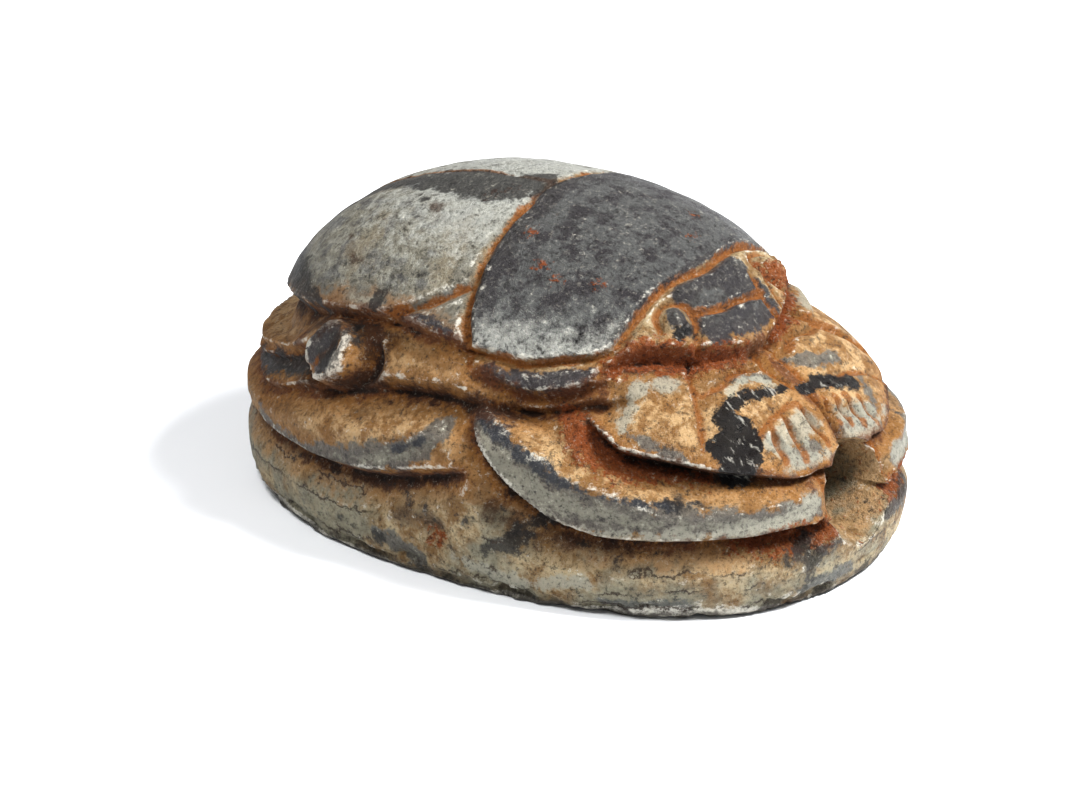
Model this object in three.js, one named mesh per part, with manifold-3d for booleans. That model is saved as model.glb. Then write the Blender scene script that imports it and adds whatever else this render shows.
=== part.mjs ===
// A steatite scarab amulet, carved from one pebble of soft stone: a dung beetle with folded
// legs on an oval plinth, pierced lengthwise so that it could be threaded on a cord.
//
// Millimetres, +Z up. The head looks along -Y, the tail along +Y, and the origin is the middle
// of the flat underside. The beetle is nearly the same on both sides, so a cut is laid out on its
// right flank (-X) and mirrored, unless it names the one side it is on.
//
// The form is found the way a carver works. A blank is two rounded masses: a low one for the
// plinth, legs and head, and a higher one for the back. Lines are then drawn on the blank, and
// each line is cut as a V whose two slopes may reach different distances up and down the stone.
import * as THREE from 'three';
import { mergeVertices } from 'three/addons/utils/BufferGeometryUtils.js';
import Module from 'manifold-3d';

const wasm = await Module();
wasm.setup();

// The stone.
const LENGTH = 24;
const WIDTH = 17.1;
const HEIGHT = 11.5;
const OVAL_POWER = 2.32; // 2 is an ellipse, more is squarer
const STONE = { color: 0x9c9281, roughness: 0.62, metalness: 0 };

// The low mass: an upright wall round the plinth, then a rounded shoulder.
const PLINTH_TOP = 2.2;
const SHOULDER_HEIGHT = 6.2;
const SHOULDER_POWER = 2.5;
const FOOT_DRAFT = 0.035; // how far the wall leans in at the very bottom, as a share

// The back: the folded wing cases and the shield behind the head.
const BACK_WIDTH_SHARE = 0.856;
const BACK_FRONT = -8.49;
const BACK_REAR = 10.68;
const BACK_MIDDLE = 1.2;
const BACK_FOOT = 6.18;
const BACK_POWER = 1.866;

// The string hole runs the whole length and opens out at both mouths.
const HOLE_HEIGHT = 3.3;
const HOLE_RADIUS = 1.32;
const HEAD_MOUTH_RADIUS = 1.85;
const TAIL_MOUTH_RADIUS = 1.6;
const MOUTH_LENGTH = 1.9;
const HOLE_SIDES = 24;

// How finely the carving is followed before flat places are thinned out again.
const ROUND_STEPS = 360;
const LENGTH_STEPS = 260;
const FIRST_TOLERANCE = 0.012;
const FACET_LIMIT = 9600;
const SIGHT_SPREAD = 6.2; // half the stretch of the hole from which the skin is measured
const LINE_SIGHT_SHARE = 0.55; // how far along the hole a line's own points are measured from
const STEPS_PER_SPAN = 6; // straight pieces between two points of a line

// Cuts. Each point is [x, y, z, depth] near the blank's skin. `above` and `below` are how far the
// slopes reach on either side of the line, where `up` (else +Z) tells which side is above. `flat`
// is the share of the width that keeps its full depth. Lines are mirrored unless a side is named.
//
// Broad cuts give the forms.
const BROAD_CUTS = {
  // The lip that hangs under the shield.
  shieldLip: {
    above: 0.25, below: 1.6,
    line: [[-7, -0.9, 7.35, 0.2], [-6.85, -2.6, 7, 0.5], [-6.4, -4, 7.1, 0.55],
      [-5.7, -4.9, 7.5, 0.4]],
  },
  // The rim of the wing cases, cut in below so that they stand proud.
  wingRim: {
    above: 0.22, below: 2.3,
    line: [[-6.7, -0.05, 8.05, 0.4], [-6.68, 1.3, 8.15, 0.5], [-6.5, 3.3, 8.15, 0.6],
      [-6.3, 5, 7.85, 0.65], [-5.9, 6.6, 7.5, 0.7], [-5.2, 8, 7.15, 0.75],
      [-3.9, 9.4, 6.9, 0.75], [-2, 10.4, 6.8, 0.7], [0, 10.65, 6.75, 0.7]],
  },
  // The deep crease between the back and the legs.
  legCrease: {
    above: 0.55, below: 1.5,
    line: [[-5.9, -5, 6.9, 0.6], [-6.9, -3.3, 6.5, 0.75], [-7.25, -1.2, 6.35, 0.7],
      [-7.25, 0.6, 6.3, 0.65], [-7.3, 2.4, 6, 0.7], [-7.1, 4.6, 5.4, 0.6],
      [-6.9, 6.6, 4.9, 0.45], [-6.2, 8.6, 4.2, 0.35], [-4.2, 10.6, 4.2, 0.3], [0, 11.7, 4.2, 0.3]],
  },
  // Under the front leg, and behind its elbow, where it crosses the middle leg.
  frontLegUndercut: {
    above: 0.4, below: 1.3,
    line: [[-7.45, -0.9, 6.3, 0.45], [-7.85, -1.35, 5.4, 0.75], [-8.2, -2.3, 4.4, 0.95],
      [-8.25, -3.9, 3.3, 1], [-8, -5, 2.9, 0.95], [-7.5, -6.6, 2.7, 0.9],
      [-6.7, -8.3, 2.7, 0.85], [-5.6, -9.8, 2.75, 0.8], [-4, -11.05, 2.8, 0.8],
      [-2.3, -11.75, 2.8, 0.7]],
  },
  // The groove between the middle leg and the plinth.
  middleLegUndercut: {
    above: 0.5, below: 1.1,
    line: [[-8.35, -1, 4.1, 0.4], [-8.42, 0.1, 3.7, 0.7], [-8.46, 2, 3.1, 0.75],
      [-8.3, 3.5, 2.85, 0.75], [-7.7, 6.2, 2.8, 0.65], [-5.2, 10, 2.8, 0.6],
      [-2.2, 11.7, 2.8, 0.5]],
  },
  // Behind, in front of and below the stub of the hind leg.
  hindLegEnd: {
    above: 0.8, below: 0.6, up: [0, -1, 0],
    line: [[-6.2, 7, 6.4, 0.1], [-6.5, 6.6, 5.8, 0.4], [-6.9, 5.9, 5.4, 0.4]],
  },
  stubHollow: {
    above: 0.8, below: 0.5, up: [0, -1, 0],
    line: [[-6.8, 3.7, 7.6, 0.5], [-7.05, 3.6, 6.9, 0.85], [-7.2, 3.8, 6.2, 0.7],
      [-7.2, 4.4, 5.6, 0.3]],
  },
  hindFacet: {
    above: 0.15, below: 1.3,
    line: [[-6.9, 6.1, 6, 0.2], [-6.5, 7, 5.9, 0.4], [-5.8, 8.4, 5.2, 0.45],
      [-4.6, 10.1, 4.6, 0.35], [-2.6, 11.2, 4.4, 0.2]],
  },
  // Head: the crease at the neck, the channel above the front leg, the flattened shovel.
  neck: {
    above: 0.4, below: 1.05,
    line: [[-5.4, -5, 7.9, 0.5], [-4.5, -5.75, 8.25, 0.75], [-3.5, -6.7, 8.15, 0.85],
      [-2.4, -7.35, 8.1, 0.75], [-0.95, -7.8, 7.9, 0.6], [0, -7.9, 7.8, 0.55]],
  },
  headChannel: {
    above: 0.25, below: 1.4,
    line: [[-6.3, -4.6, 6.55, 0.5], [-6.75, -6.1, 5.8, 1], [-6.4, -7.3, 5.5, 1.25],
      [-5.7, -8.5, 5.2, 1.25], [-4.9, -9.6, 4.95, 1], [-3.9, -10.45, 4.8, 0.75],
      [-2.9, -11.1, 4.5, 0.6], [-1.6, -11.5, 4.5, 0.6], [0, -11.75, 4.6, 0.8]],
  },
  headTable: {
    above: 4.5, below: 4.5,
    line: [[0, -8.2, 7.6, 0.2], [0, -9.5, 6.7, 0.4], [0, -11.3, 5.1, 0.4]],
  },
};

// Ridges are left standing: their depth is how far they rise.
const RIDGES = {
  // Front leg: a thick ridge from the elbow round to the front.
  frontLegRidge: {
    above: 0.6, below: 2.4,
    line: [[-7.3, -1, 6.6, 0.3], [-7.5, -1.7, 6.25, 0.75], [-7.65, -2.8, 5.9, 0.75],
      [-7.75, -4.2, 5.35, 0.6], [-7.65, -5.5, 4.85, 0.45], [-7.1, -7.2, 4.5, 0.32],
      [-5.9, -9.1, 4.2, 0.25], [-4.4, -10.5, 4.1, 0.2], [-3, -11.3, 4, 0.12]],
  },
  // Middle leg: its ridge sweeps down and back from the elbow.
  middleLegRidge: {
    above: 1.6, below: 0.6,
    line: [[-7.3, -0.3, 6.3, 0.1], [-7.8, 0.2, 5.45, 0.25], [-8.15, 1.9, 4.6, 0.28],
      [-8.1, 4, 3.95, 0.25], [-7.5, 6.6, 3.4, 0.25], [-6.5, 8.5, 3.55, 0.2],
      [-4.2, 10.8, 3.6, 0.15], [-1.9, 11.8, 3.7, 0.1]],
  },
  // Hind leg: a low rim round the tail, and a stub under the wing case.
  hindLegRidge: {
    above: 1.3, below: 0.45,
    line: [[-6.7, 4.7, 7.3, 0.55], [-6.5, 5.8, 6.8, 0.75], [-6.25, 6.8, 6.3, 0.55],
      [-5.7, 8.3, 5.7, 0.4], [-4.6, 9.9, 5.2, 0.35], [-2.6, 11.1, 5, 0.3], [0, 11.5, 5, 0.3]],
  },
  stub: {
    above: 1.2, below: 1.2, flat: 0.7,
    line: [[-6.9, 5.1, 6.95, 0.75], [-7, 5.2, 6.5, 0.85]],
  },
  // The eye.
  eyeKnob: {
    above: 0.5, below: 0.5,
    line: [[-2.75, -6, 9.1, 0.25], [-2.9, -6.3, 8.8, 0.3]],
  },
};

// Fine cuts are drawn with the point of the graver, on top of the broad ones.
const FINE_CUTS = {
  // Across the back: the line behind the shield.
  shieldLine: {
    above: 0.24, below: 0.24,
    line: [[0.3, 0.95, 11.5, 0.16], [-1.56, 0.76, 11.4, 0.24], [-2.7, 0.78, 11.1, 0.3],
      [-3.95, 0.7, 10.55, 0.32], [-5.2, 0.46, 9.77, 0.34], [-6, 0.17, 9, 0.36],
      [-6.6, -0.25, 8.1, 0.36], [-6.95, -0.5, 7.4, 0.1]],
  },
  // The end of the front leg is rounded off beside the string hole.
  legTip: {
    above: 0.5, below: 0.5, up: [-1, 0, 0],
    line: [[-1.95, -11.75, 4.4, 0.35], [-1.85, -11.8, 3.7, 0.3], [-1.9, -11.8, 3.1, 0.3]],
  },
  // The seam between the wing cases, and the notch at the shoulder of each.
  wingSeam: {
    above: 0.12, below: 0.12,
    line: [[0, 0.9, 11.5, 0.06], [0, 4.2, 11.1, 0.08], [0, 7.8, 9.5, 0.1], [0, 10.5, 7.2, 0.1]],
  },
  shoulderNotch: {
    above: 0.2, below: 0.42,
    line: [[-5.3, 0.5, 9.65, 0.36], [-6, 1.72, 9.03, 0.34], [-6.5, 3.25, 8.28, 0.3]],
  },
  // Round the foot and front of the shield.
  shieldRim: {
    above: 0.16, below: 0.45,
    line: [[-6.75, -0.2, 8.05, 0.3], [-6.6, -1.57, 7.94, 0.36], [-6.24, -2.94, 8.01, 0.38],
      [-5.46, -4.41, 8.24, 0.42], [-5, -4.9, 8.45, 0.42]],
  },
  shieldFront: {
    above: 0.2, below: 0.4,
    line: [[-5.35, -4.75, 8.15, 0.35], [-4.9, -4.95, 8.5, 0.38], [-4.25, -5, 8.95, 0.36],
      [-3.45, -5.05, 9.4, 0.34], [-2.1, -5.12, 9.86, 0.34], [-0.8, -5.3, 9.95, 0.32],
      [0, -5.4, 9.95, 0.32]],
  },
  // The two bands across the nape, with a short third band beyond them on the left.
  napeLine: {
    above: 0.17, below: 0.2, side: 'right',
    line: [[-2.1, -6.3, 9.12, 0.28], [-1.1, -6.66, 9.05, 0.28], [0, -6.74, 9.04, 0.28],
      [1.1, -6.9, 8.85, 0.26]],
  },
  napeLineLeft: {
    above: 0.17, below: 0.2, side: 'left',
    line: [[0.5, -6.8, 8.95, 0.28], [1.2, -6.8, 8.9, 0.26]],
  },
  napeDivider: {
    above: 0.16, below: 0.16, up: [1, 0, 0], side: 'left',
    line: [[1.45, -6.2, 9.3, 0.22], [1.2, -6.8, 8.9, 0.26], [1.15, -7.4, 8.4, 0.26],
      [1.25, -7.9, 7.7, 0.2]],
  },
  napeOuter: {
    above: 0.16, below: 0.2, up: [1, 0, 0], side: 'left',
    line: [[2.05, -6.3, 9.1, 0.2], [1.8, -6.9, 8.6, 0.28], [1.8, -7.6, 7.9, 0.2]],
  },
  // Round the eye, and the plates of the head.
  eyeRing: {
    above: 0.26, below: 0.26,
    line: [[-3.5, -5.9, 8.9, 0.3], [-3.2, -5.5, 9.25, 0.3], [-2.6, -5.5, 9.5, 0.32],
      [-2.15, -5.95, 9.35, 0.32], [-2.25, -6.5, 8.9, 0.32], [-2.8, -6.95, 8.4, 0.32]],
  },
  cheekSeam: {
    above: 0.12, below: 0.75, up: [-1, 1, 0],
    line: [[-3.45, -7.05, 7.75, 0.42], [-3.8, -7.4, 7.2, 0.4], [-4.35, -7.95, 6.6, 0.32],
      [-5, -8.65, 5.8, 0.2]],
  },
  // Steps behind and before each lobe of the shovel.
  lobeBack: {
    above: 0.55, below: 0.12,
    line: [[-3.7, -7.75, 7.15, 0.25], [-2.9, -8, 7.25, 0.38], [-1.9, -7.95, 7.4, 0.42],
      [-1, -8.3, 7.3, 0.35]],
  },
  lobeFront: {
    above: 0.9, below: 0.14,
    line: [[-4.9, -9.9, 4.9, 0.12], [-3.6, -9.75, 5.75, 0.16], [-2.6, -9.75, 6.2, 0.18],
      [-1.2, -9.85, 6.4, 0.16]],
  },
  // The recess under the front leg's tip, beside the hole's mouth.
  mouthRecess: {
    above: 0.2, below: 0.5,
    line: [[-5.4, -9.7, 2.75, 0.1], [-4.4, -10.6, 2.75, 0.4], [-3.2, -11.3, 2.7, 0.55],
      [-2.3, -11.75, 2.7, 0.5], [-1.7, -11.9, 2.7, 0.3]],
  },
  browLeft: {
    above: 0.5, below: 0.3, up: [-1, 0, 0],
    line: [[-0.45, -7.9, 7.7, 0.3], [-0.5, -8.6, 7.2, 0.28], [-0.35, -9.4, 6.7, 0.12]],
  },
  // The notch between the two lobes of the shovel.
  lobeNotch: {
    above: 0.45, below: 0.45,
    line: [[0, -9.4, 6.6, 0.12], [0, -10.3, 6, 0.25], [0, -11, 5.4, 0.5], [0, -11.5, 4.9, 0.8]],
  },
};

// Teeth: short grooves side by side on the front of each lobe, deepest halfway down.
const TEETH = {
  width: 0.26,
  depth: 0.34,
  rows: [
    { side: 'right', count: 3, firstX: -2.65, pitch: 0.89, topY: -9.85, topZ: 6.3 },
    { side: 'left', count: 4, firstX: 0.45, pitch: 0.55, topY: -10.35, topZ: 6.0 },
  ],
  splay: 1.12, // how much wider apart the grooves stand at the bottom
  bottomY: -11.05,
  bottomZ: 5.1,
};

function clampBelow(value) {
  return Math.max(value, 0);
}

// 1 on an oval with the given half axes, less inside it.
function ovalShare(x, y, halfWidth, halfLength, power) {
  return (Math.abs(x / halfWidth) ** power + Math.abs(y / halfLength) ** power) ** (1 / power);
}

// Below 0 inside the low mass.
function lowMass(x, y, z) {
  const lean = clampBelow((PLINTH_TOP - z) / PLINTH_TOP);
  const wall = ovalShare(x, y, WIDTH / 2, LENGTH / 2, OVAL_POWER) / (1 - FOOT_DRAFT * lean * lean);
  const rise = clampBelow((z - PLINTH_TOP) / SHOULDER_HEIGHT);
  return (wall ** SHOULDER_POWER + rise ** SHOULDER_POWER) ** (1 / SHOULDER_POWER) - 1;
}

// Below 0 inside the mass of the back.
function backMass(x, y, z) {
  const halfLength = y < BACK_MIDDLE ? BACK_MIDDLE - BACK_FRONT : BACK_REAR - BACK_MIDDLE;
  const halfWidth = BACK_WIDTH_SHARE * WIDTH / 2;
  const wall = ovalShare(x, y - BACK_MIDDLE, halfWidth, halfLength, OVAL_POWER);
  const rise = clampBelow((z - BACK_FOOT) / (HEIGHT - BACK_FOOT));
  return (wall ** BACK_POWER + rise ** BACK_POWER) ** (1 / BACK_POWER) - 1;
}

function blank(x, y, z) {
  return Math.min(lowMass(x, y, z), backMass(x, y, z));
}

// Where the ray from a point in the string hole leaves the blank.
function skinPoint(origin, direction) {
  let inside = 0;
  let outside = LENGTH;
  const point = new THREE.Vector3();
  for (let step = 0; step < 28; step += 1) {
    const reach = (inside + outside) / 2;
    point.copy(direction).multiplyScalar(reach).add(origin);
    if (blank(point.x, point.y, point.z) < 0) {
      inside = reach;
    } else {
      outside = reach;
    }
  }
  return point;
}

// Slides a point of a line in or out until it lies on the blank's skin.
function ontoSkin([x, y, z]) {
  const origin = new THREE.Vector3(0, LINE_SIGHT_SHARE * y, HOLE_HEIGHT);
  return skinPoint(origin, new THREE.Vector3(x, y, z).sub(origin).normalize());
}

// Depth along a line, from the fourth number of its points.
function depthAt(line, share) {
  const place = share * (line.length - 1);
  const index = Math.min(Math.floor(place), line.length - 2);
  return THREE.MathUtils.lerp(line[index][3], line[index + 1][3], place - index);
}

// A cut as short straight pieces, each with its ends, its depths and the upward side direction.
function layOut({ above, below, line, up = [0, 0, 1], flat = 0, side = 'both' }) {
  const curve = new THREE.CatmullRomCurve3(line.map(ontoSkin));
  const steps = STEPS_PER_SPAN * (line.length - 1);
  const upward = new THREE.Vector3(...up);
  const pieces = [];
  for (let step = 0; step < steps; step += 1) {
    const from = curve.getPoint(step / steps);
    const to = curve.getPoint((step + 1) / steps);
    const along = to.clone().sub(from);
    const middle = from.clone().add(to).multiplyScalar(0.5);
    const outward = new THREE.Vector3(middle.x, middle.y / 2, middle.z - HOLE_HEIGHT);
    const across = new THREE.Vector3().crossVectors(outward, along).normalize();
    if (across.dot(upward) < 0) {
      across.negate();
    }
    const depths = [depthAt(line, step / steps), depthAt(line, (step + 1) / steps)];
    pieces.push({ from, along, across, depths });
  }
  const reach = Math.max(above, below);
  const bounds = new THREE.Box3().setFromPoints(curve.getPoints(steps)).expandByScalar(reach);
  const deepest = Math.max(...line.map((point) => point[3]));
  return { above, below, flat, side, pieces, bounds, deepest };
}

// How deep one cut is at a point of the skin: its slopes fall evenly from the line.
function depthOf(cut, point) {
  const place = point.clone();
  if (cut.side === 'both') {
    place.x = -Math.abs(place.x);
  }
  if (!cut.bounds.containsPoint(place)) {
    return 0;
  }
  let nearest = Infinity;
  let depth = 0;
  for (const { from, along, across, depths } of cut.pieces) {
    const offset = place.clone().sub(from);
    const share = THREE.MathUtils.clamp(offset.dot(along) / along.lengthSq(), 0, 1);
    const distance = offset.addScaledVector(along, -share).length();
    if (distance < nearest) {
      nearest = distance;
      const width = offset.dot(across) > 0 ? cut.above : cut.below;
      const full = THREE.MathUtils.lerp(...depths, share);
      depth = Math.min(full, (full - cut.deepest * distance / width) / (1 - cut.flat));
    }
  }
  return clampBelow(depth);
}

function toothLines() {
  const lines = [];
  for (const { side, count, firstX, pitch, topY, topZ } of TEETH.rows) {
    for (let tooth = 0; tooth < count; tooth += 1) {
      const top = [firstX + tooth * pitch, topY, topZ];
      const bottom = [TEETH.splay * top[0], TEETH.bottomY, TEETH.bottomZ];
      const middle = top.map((value, axis) => (value + bottom[axis]) / 2);
      const line = [[...top, 0], [...middle, TEETH.depth], [...bottom, 0]];
      lines.push({ above: TEETH.width, below: TEETH.width, side, line });
    }
  }
  return lines;
}

const broadCuts = Object.values(BROAD_CUTS).map(layOut);
const ridges = Object.values(RIDGES).map(layOut);
const fineCuts = [...Object.values(FINE_CUTS), ...toothLines()].map(layOut);

function deepestOf(cuts, point) {
  return Math.max(...cuts.map((cut) => depthOf(cut, point)));
}

// Total depth at a point of the skin: the deepest broad and fine cuts, less the highest ridge.
function carvedDepth(point) {
  return deepestOf(broadCuts, point) + deepestOf(fineCuts, point) - deepestOf(ridges, point);
}

// The carved skin: a sphere whose poles lie in the two mouths of the string hole, with each of
// its points moved out along its own ray to the blank, then back in by the depth of the carving.
// Nothing may overhang the oval of the plinth.
function carvedSkin() {
  const geometry = new THREE.SphereGeometry(1, ROUND_STEPS, LENGTH_STEPS);
  const places = geometry.attributes.position;
  const direction = new THREE.Vector3();
  const origin = new THREE.Vector3();
  for (let index = 0; index < places.count; index += 1) {
    direction.fromBufferAttribute(places, index);
    origin.set(0, SIGHT_SPREAD * direction.y, HOLE_HEIGHT);
    const skin = skinPoint(origin, direction);
    skin.addScaledVector(direction, -carvedDepth(skin));
    const overhang = Math.max(ovalShare(skin.x, skin.y, WIDTH / 2, LENGTH / 2, OVAL_POWER), 1);
    places.setXYZ(index, skin.x / overhang, skin.y / overhang, skin.z);
  }
  return geometry;
}

// A cutter for the string hole, with a cone at each mouth.
function holeCutter() {
  const end = LENGTH / 2;
  const profile = [
    [0, -end - 1], [HEAD_MOUTH_RADIUS + 0.2, -end - 1], [HEAD_MOUTH_RADIUS, -end + 0.2],
    [HOLE_RADIUS, -end + MOUTH_LENGTH], [HOLE_RADIUS, end - MOUTH_LENGTH],
    [TAIL_MOUTH_RADIUS, end], [TAIL_MOUTH_RADIUS + 0.2, end + 1], [0, end + 1],
  ];
  const cutter = new THREE.LatheGeometry(profile.map(([r, y]) => new THREE.Vector2(r, y)), HOLE_SIDES);
  return cutter.translate(0, 0, HOLE_HEIGHT);
}

function solidOf(geometry) {
  geometry.deleteAttribute('normal');
  geometry.deleteAttribute('uv');
  const merged = mergeVertices(geometry, 1e-5);
  return new wasm.Manifold(new wasm.Mesh({
    numProp: 3,
    vertProperties: new Float32Array(merged.attributes.position.array),
    triVerts: new Uint32Array(merged.index.array),
  }));
}

function geometryOf(solid) {
  const { vertProperties, triVerts } = solid.getMesh();
  const geometry = new THREE.BufferGeometry();
  geometry.setAttribute('position', new THREE.BufferAttribute(vertProperties, 3));
  geometry.setIndex(new THREE.BufferAttribute(triVerts, 1));
  return geometry;
}

// Merges facets in ever larger steps until few enough are left.
function thinned(solid) {
  let result = solid;
  for (let tolerance = FIRST_TOLERANCE; result.numTri() > FACET_LIMIT; tolerance *= 1.25) {
    result = result.simplify(tolerance);
  }
  return result;
}

const carved = solidOf(carvedSkin()).trimByPlane([0, 0, 1], 0);
const pierced = thinned(carved.subtract(solidOf(holeCutter())));

const scarab = new THREE.Mesh(geometryOf(pierced), new THREE.MeshStandardMaterial(STONE));
scarab.name = 'scarab_amulet';

const amulet = new THREE.Group();
amulet.add(scarab);

export default amulet;
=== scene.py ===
import math

import bpy
import numpy as np
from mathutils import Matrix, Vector


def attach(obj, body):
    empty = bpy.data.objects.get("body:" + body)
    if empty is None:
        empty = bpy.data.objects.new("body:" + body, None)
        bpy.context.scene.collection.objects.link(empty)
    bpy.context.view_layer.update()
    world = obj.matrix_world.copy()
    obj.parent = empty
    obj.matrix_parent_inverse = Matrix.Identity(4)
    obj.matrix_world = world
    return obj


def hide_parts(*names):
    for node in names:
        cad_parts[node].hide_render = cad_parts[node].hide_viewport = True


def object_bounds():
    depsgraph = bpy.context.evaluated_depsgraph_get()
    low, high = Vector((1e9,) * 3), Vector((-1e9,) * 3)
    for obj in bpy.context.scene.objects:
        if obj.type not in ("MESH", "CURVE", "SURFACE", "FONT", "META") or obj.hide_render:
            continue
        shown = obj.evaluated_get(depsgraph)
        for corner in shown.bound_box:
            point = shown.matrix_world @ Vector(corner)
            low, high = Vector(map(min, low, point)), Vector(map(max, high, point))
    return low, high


# Scarab amulet: one carved steatite stone, a beetle on an oval plinth, pierced for a string.
# Lengths in the dictionaries are millimetres of the real stone. The head looks along -Y.

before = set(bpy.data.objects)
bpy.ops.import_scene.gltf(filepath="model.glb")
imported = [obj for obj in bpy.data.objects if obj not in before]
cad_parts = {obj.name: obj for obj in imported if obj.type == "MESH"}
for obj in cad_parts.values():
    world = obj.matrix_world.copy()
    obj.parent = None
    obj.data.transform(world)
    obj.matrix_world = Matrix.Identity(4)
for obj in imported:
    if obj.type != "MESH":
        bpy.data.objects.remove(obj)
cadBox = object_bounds()
cadLow, cadHigh = (np.array(corner, dtype=float) for corner in cadBox)
print("frame loaded", cadLow, cadHigh)


# the stone as roughed out, before any line is cut: a low mass and a higher one for the back
blankShape = {
    "length": 24.0,
    "width": 17.1,
    "height": 11.5,
    "ovalPower": 2.32,        # 2 is an ellipse, more is squarer
    "plinthTop": 2.2,
    "shoulderHeight": 6.2,
    "shoulderPower": 2.5,
    "footDraft": 0.035,
    "footRadius": 0.3,        # the worn edge round the underside
    "backWidthShare": 0.856,
    "backFront": -8.49,
    "backRear": 10.68,
    "backMiddle": 1.2,
    "backFoot": 6.18,
    "backPower": 1.866,
}

stringHole = {
    "height": 3.3,
    "radius": 1.32,
    "headMouth": 1.85,
    "tailMouth": 1.6,
    "mouthLength": 1.9,
    "sightSpread": 6.2,       # half the stretch of the hole from which the skin is measured
}

gridSteps = {
    "roundSkin": 292,         # lines over the flanks and back
    "roundUnderside": 44,     # lines over the flat underside
    "cornerHeight": 0.25,     # how far below the underside its first line is aimed
    "headSpacing": 0.085,     # between rows, as far back as headEnd along Y
    "tailSpacing": 0.17,      # between rows, from tailStart on
    "headEnd": -6,
    "tailStart": 1,
    "spineTurn": 150,         # degrees round the hole at which the rows are spaced out
    "spineSamples": 2000,
    "mouthRows": 9,
    "holeRows": 22,
}

# how points are looked for on the skin and near the lines, in mm where it is a length
search = {
    "halvings": 24,           # each one halves the error in the place of the skin
    "sightShare": 0.55,       # a line's point is sighted from this share of its Y, inside the stone
    "farGap": 9.0,            # taken for the gap where no line lies near
    "farCrease": 3.0,
    "leastReach": 1.0,
    "margin": 0.6,
    "patchMargin": 2.2,
    "leftFrom": -0.6,         # one-sided lines stop short of the far flank
    "rightUntil": 1.2,
    "patchMiddle": -1.0,      # a stroke that comes nearer to the middle isn't mirrored
}

metresPerMm = (cadHigh[0] - cadLow[0]) / blankShape["width"]


def softNoise(points, size, seed):
    # value noise from -1 to 1: random numbers on a lattice `size` mm apart, blended as
    # 3t^2 - 2t^3. the lattice repeats after `side` cells, and the shift keeps cells above 0
    side, shift = 32, 100
    table = np.random.default_rng(seed).uniform(-1, 1, (side, side, side))
    place = points / size + shift
    cell = np.floor(place).astype(int)
    blend = place - cell
    blend = blend * blend * (3 - 2 * blend)
    value = 0
    for corner in np.ndindex(2, 2, 2):
        weight = np.prod(np.where(corner, blend, 1 - blend), axis=-1)
        x, y, z = ((cell[..., axis] + corner[axis]) % side for axis in range(3))
        value = value + weight * table[x, y, z]
    return value


def ovalShare(x, y, halfWidth, halfLength):
    # (|x / a|^n + |y / b|^n)^(1/n): 1 on the oval, less inside it
    power = blankShape["ovalPower"]
    return (np.abs(x / halfWidth) ** power + np.abs(y / halfLength) ** power) ** (1 / power)


def roundedOver(wall, rise, power):
    # wall and roof meet as (wall^p + rise^p)^(1/p) - 1: 0 on the skin, below 0 inside
    return (wall ** power + np.maximum(rise, 0) ** power) ** (1 / power) - 1


def lowMass(x, y, z):
    # an oval wall that leans in towards its foot as draft * lean^2, under a rounded shoulder
    top = blankShape["plinthTop"]
    lean = np.clip((top - z) / top, 0, 2)
    wall = ovalShare(x, y, blankShape["width"] / 2, blankShape["length"] / 2)
    wall = wall / (1 - blankShape["footDraft"] * lean ** 2)
    return roundedOver(wall, (z - top) / blankShape["shoulderHeight"], blankShape["shoulderPower"])


def backMass(x, y, z):
    # the same rounding on a smaller oval that starts higher up, with its own length before and
    # behind its middle
    middle, foot = blankShape["backMiddle"], blankShape["backFoot"]
    halfLength = np.where(y < middle, middle - blankShape["backFront"],
                          blankShape["backRear"] - middle)
    halfWidth = blankShape["backWidthShare"] * blankShape["width"] / 2
    wall = ovalShare(x, y - middle, halfWidth, halfLength)
    return roundedOver(wall, (z - foot) / (blankShape["height"] - foot), blankShape["backPower"])


def blank(points):
    # below 0 inside both masses. depths under wall and floor, each less than the radius, join
    # as a quarter round: hypot(radius - wallDepth, radius - z) - radius
    x, y, z = points[..., 0], points[..., 1], points[..., 2]
    radius = blankShape["footRadius"]
    wallDepth = -np.minimum(lowMass(x, y, z), backMass(x, y, z)) * blankShape["width"] / 2
    return np.hypot(np.maximum(radius - wallDepth, 0), np.maximum(radius - z, 0)) - radius


def skinAlong(origins, directions):
    # halves the stretch of each ray that holds the blank's skin until it is found
    inside = np.zeros(origins.shape[:-1])
    outside = np.full(origins.shape[:-1], blankShape["length"])
    for _ in range(search["halvings"]):
        reach = (inside + outside) / 2
        within = blank(origins + directions * reach[..., None]) < 0
        inside = np.where(within, reach, inside)
        outside = np.where(within, outside, reach)
    return origins + directions * inside[..., None]


def rays(turn, tilt):
    # a ray leaves the string hole at y = -spread * cos(tilt), turned round it by `turn`
    directions = np.stack([np.sin(tilt) * np.cos(turn), -np.cos(tilt),
                           np.sin(tilt) * np.sin(turn)], axis=-1)
    origins = np.zeros_like(directions)
    origins[..., 1] = stringHole["sightSpread"] * directions[..., 1]
    origins[..., 2] = stringHole["height"]
    return origins, directions


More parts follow.
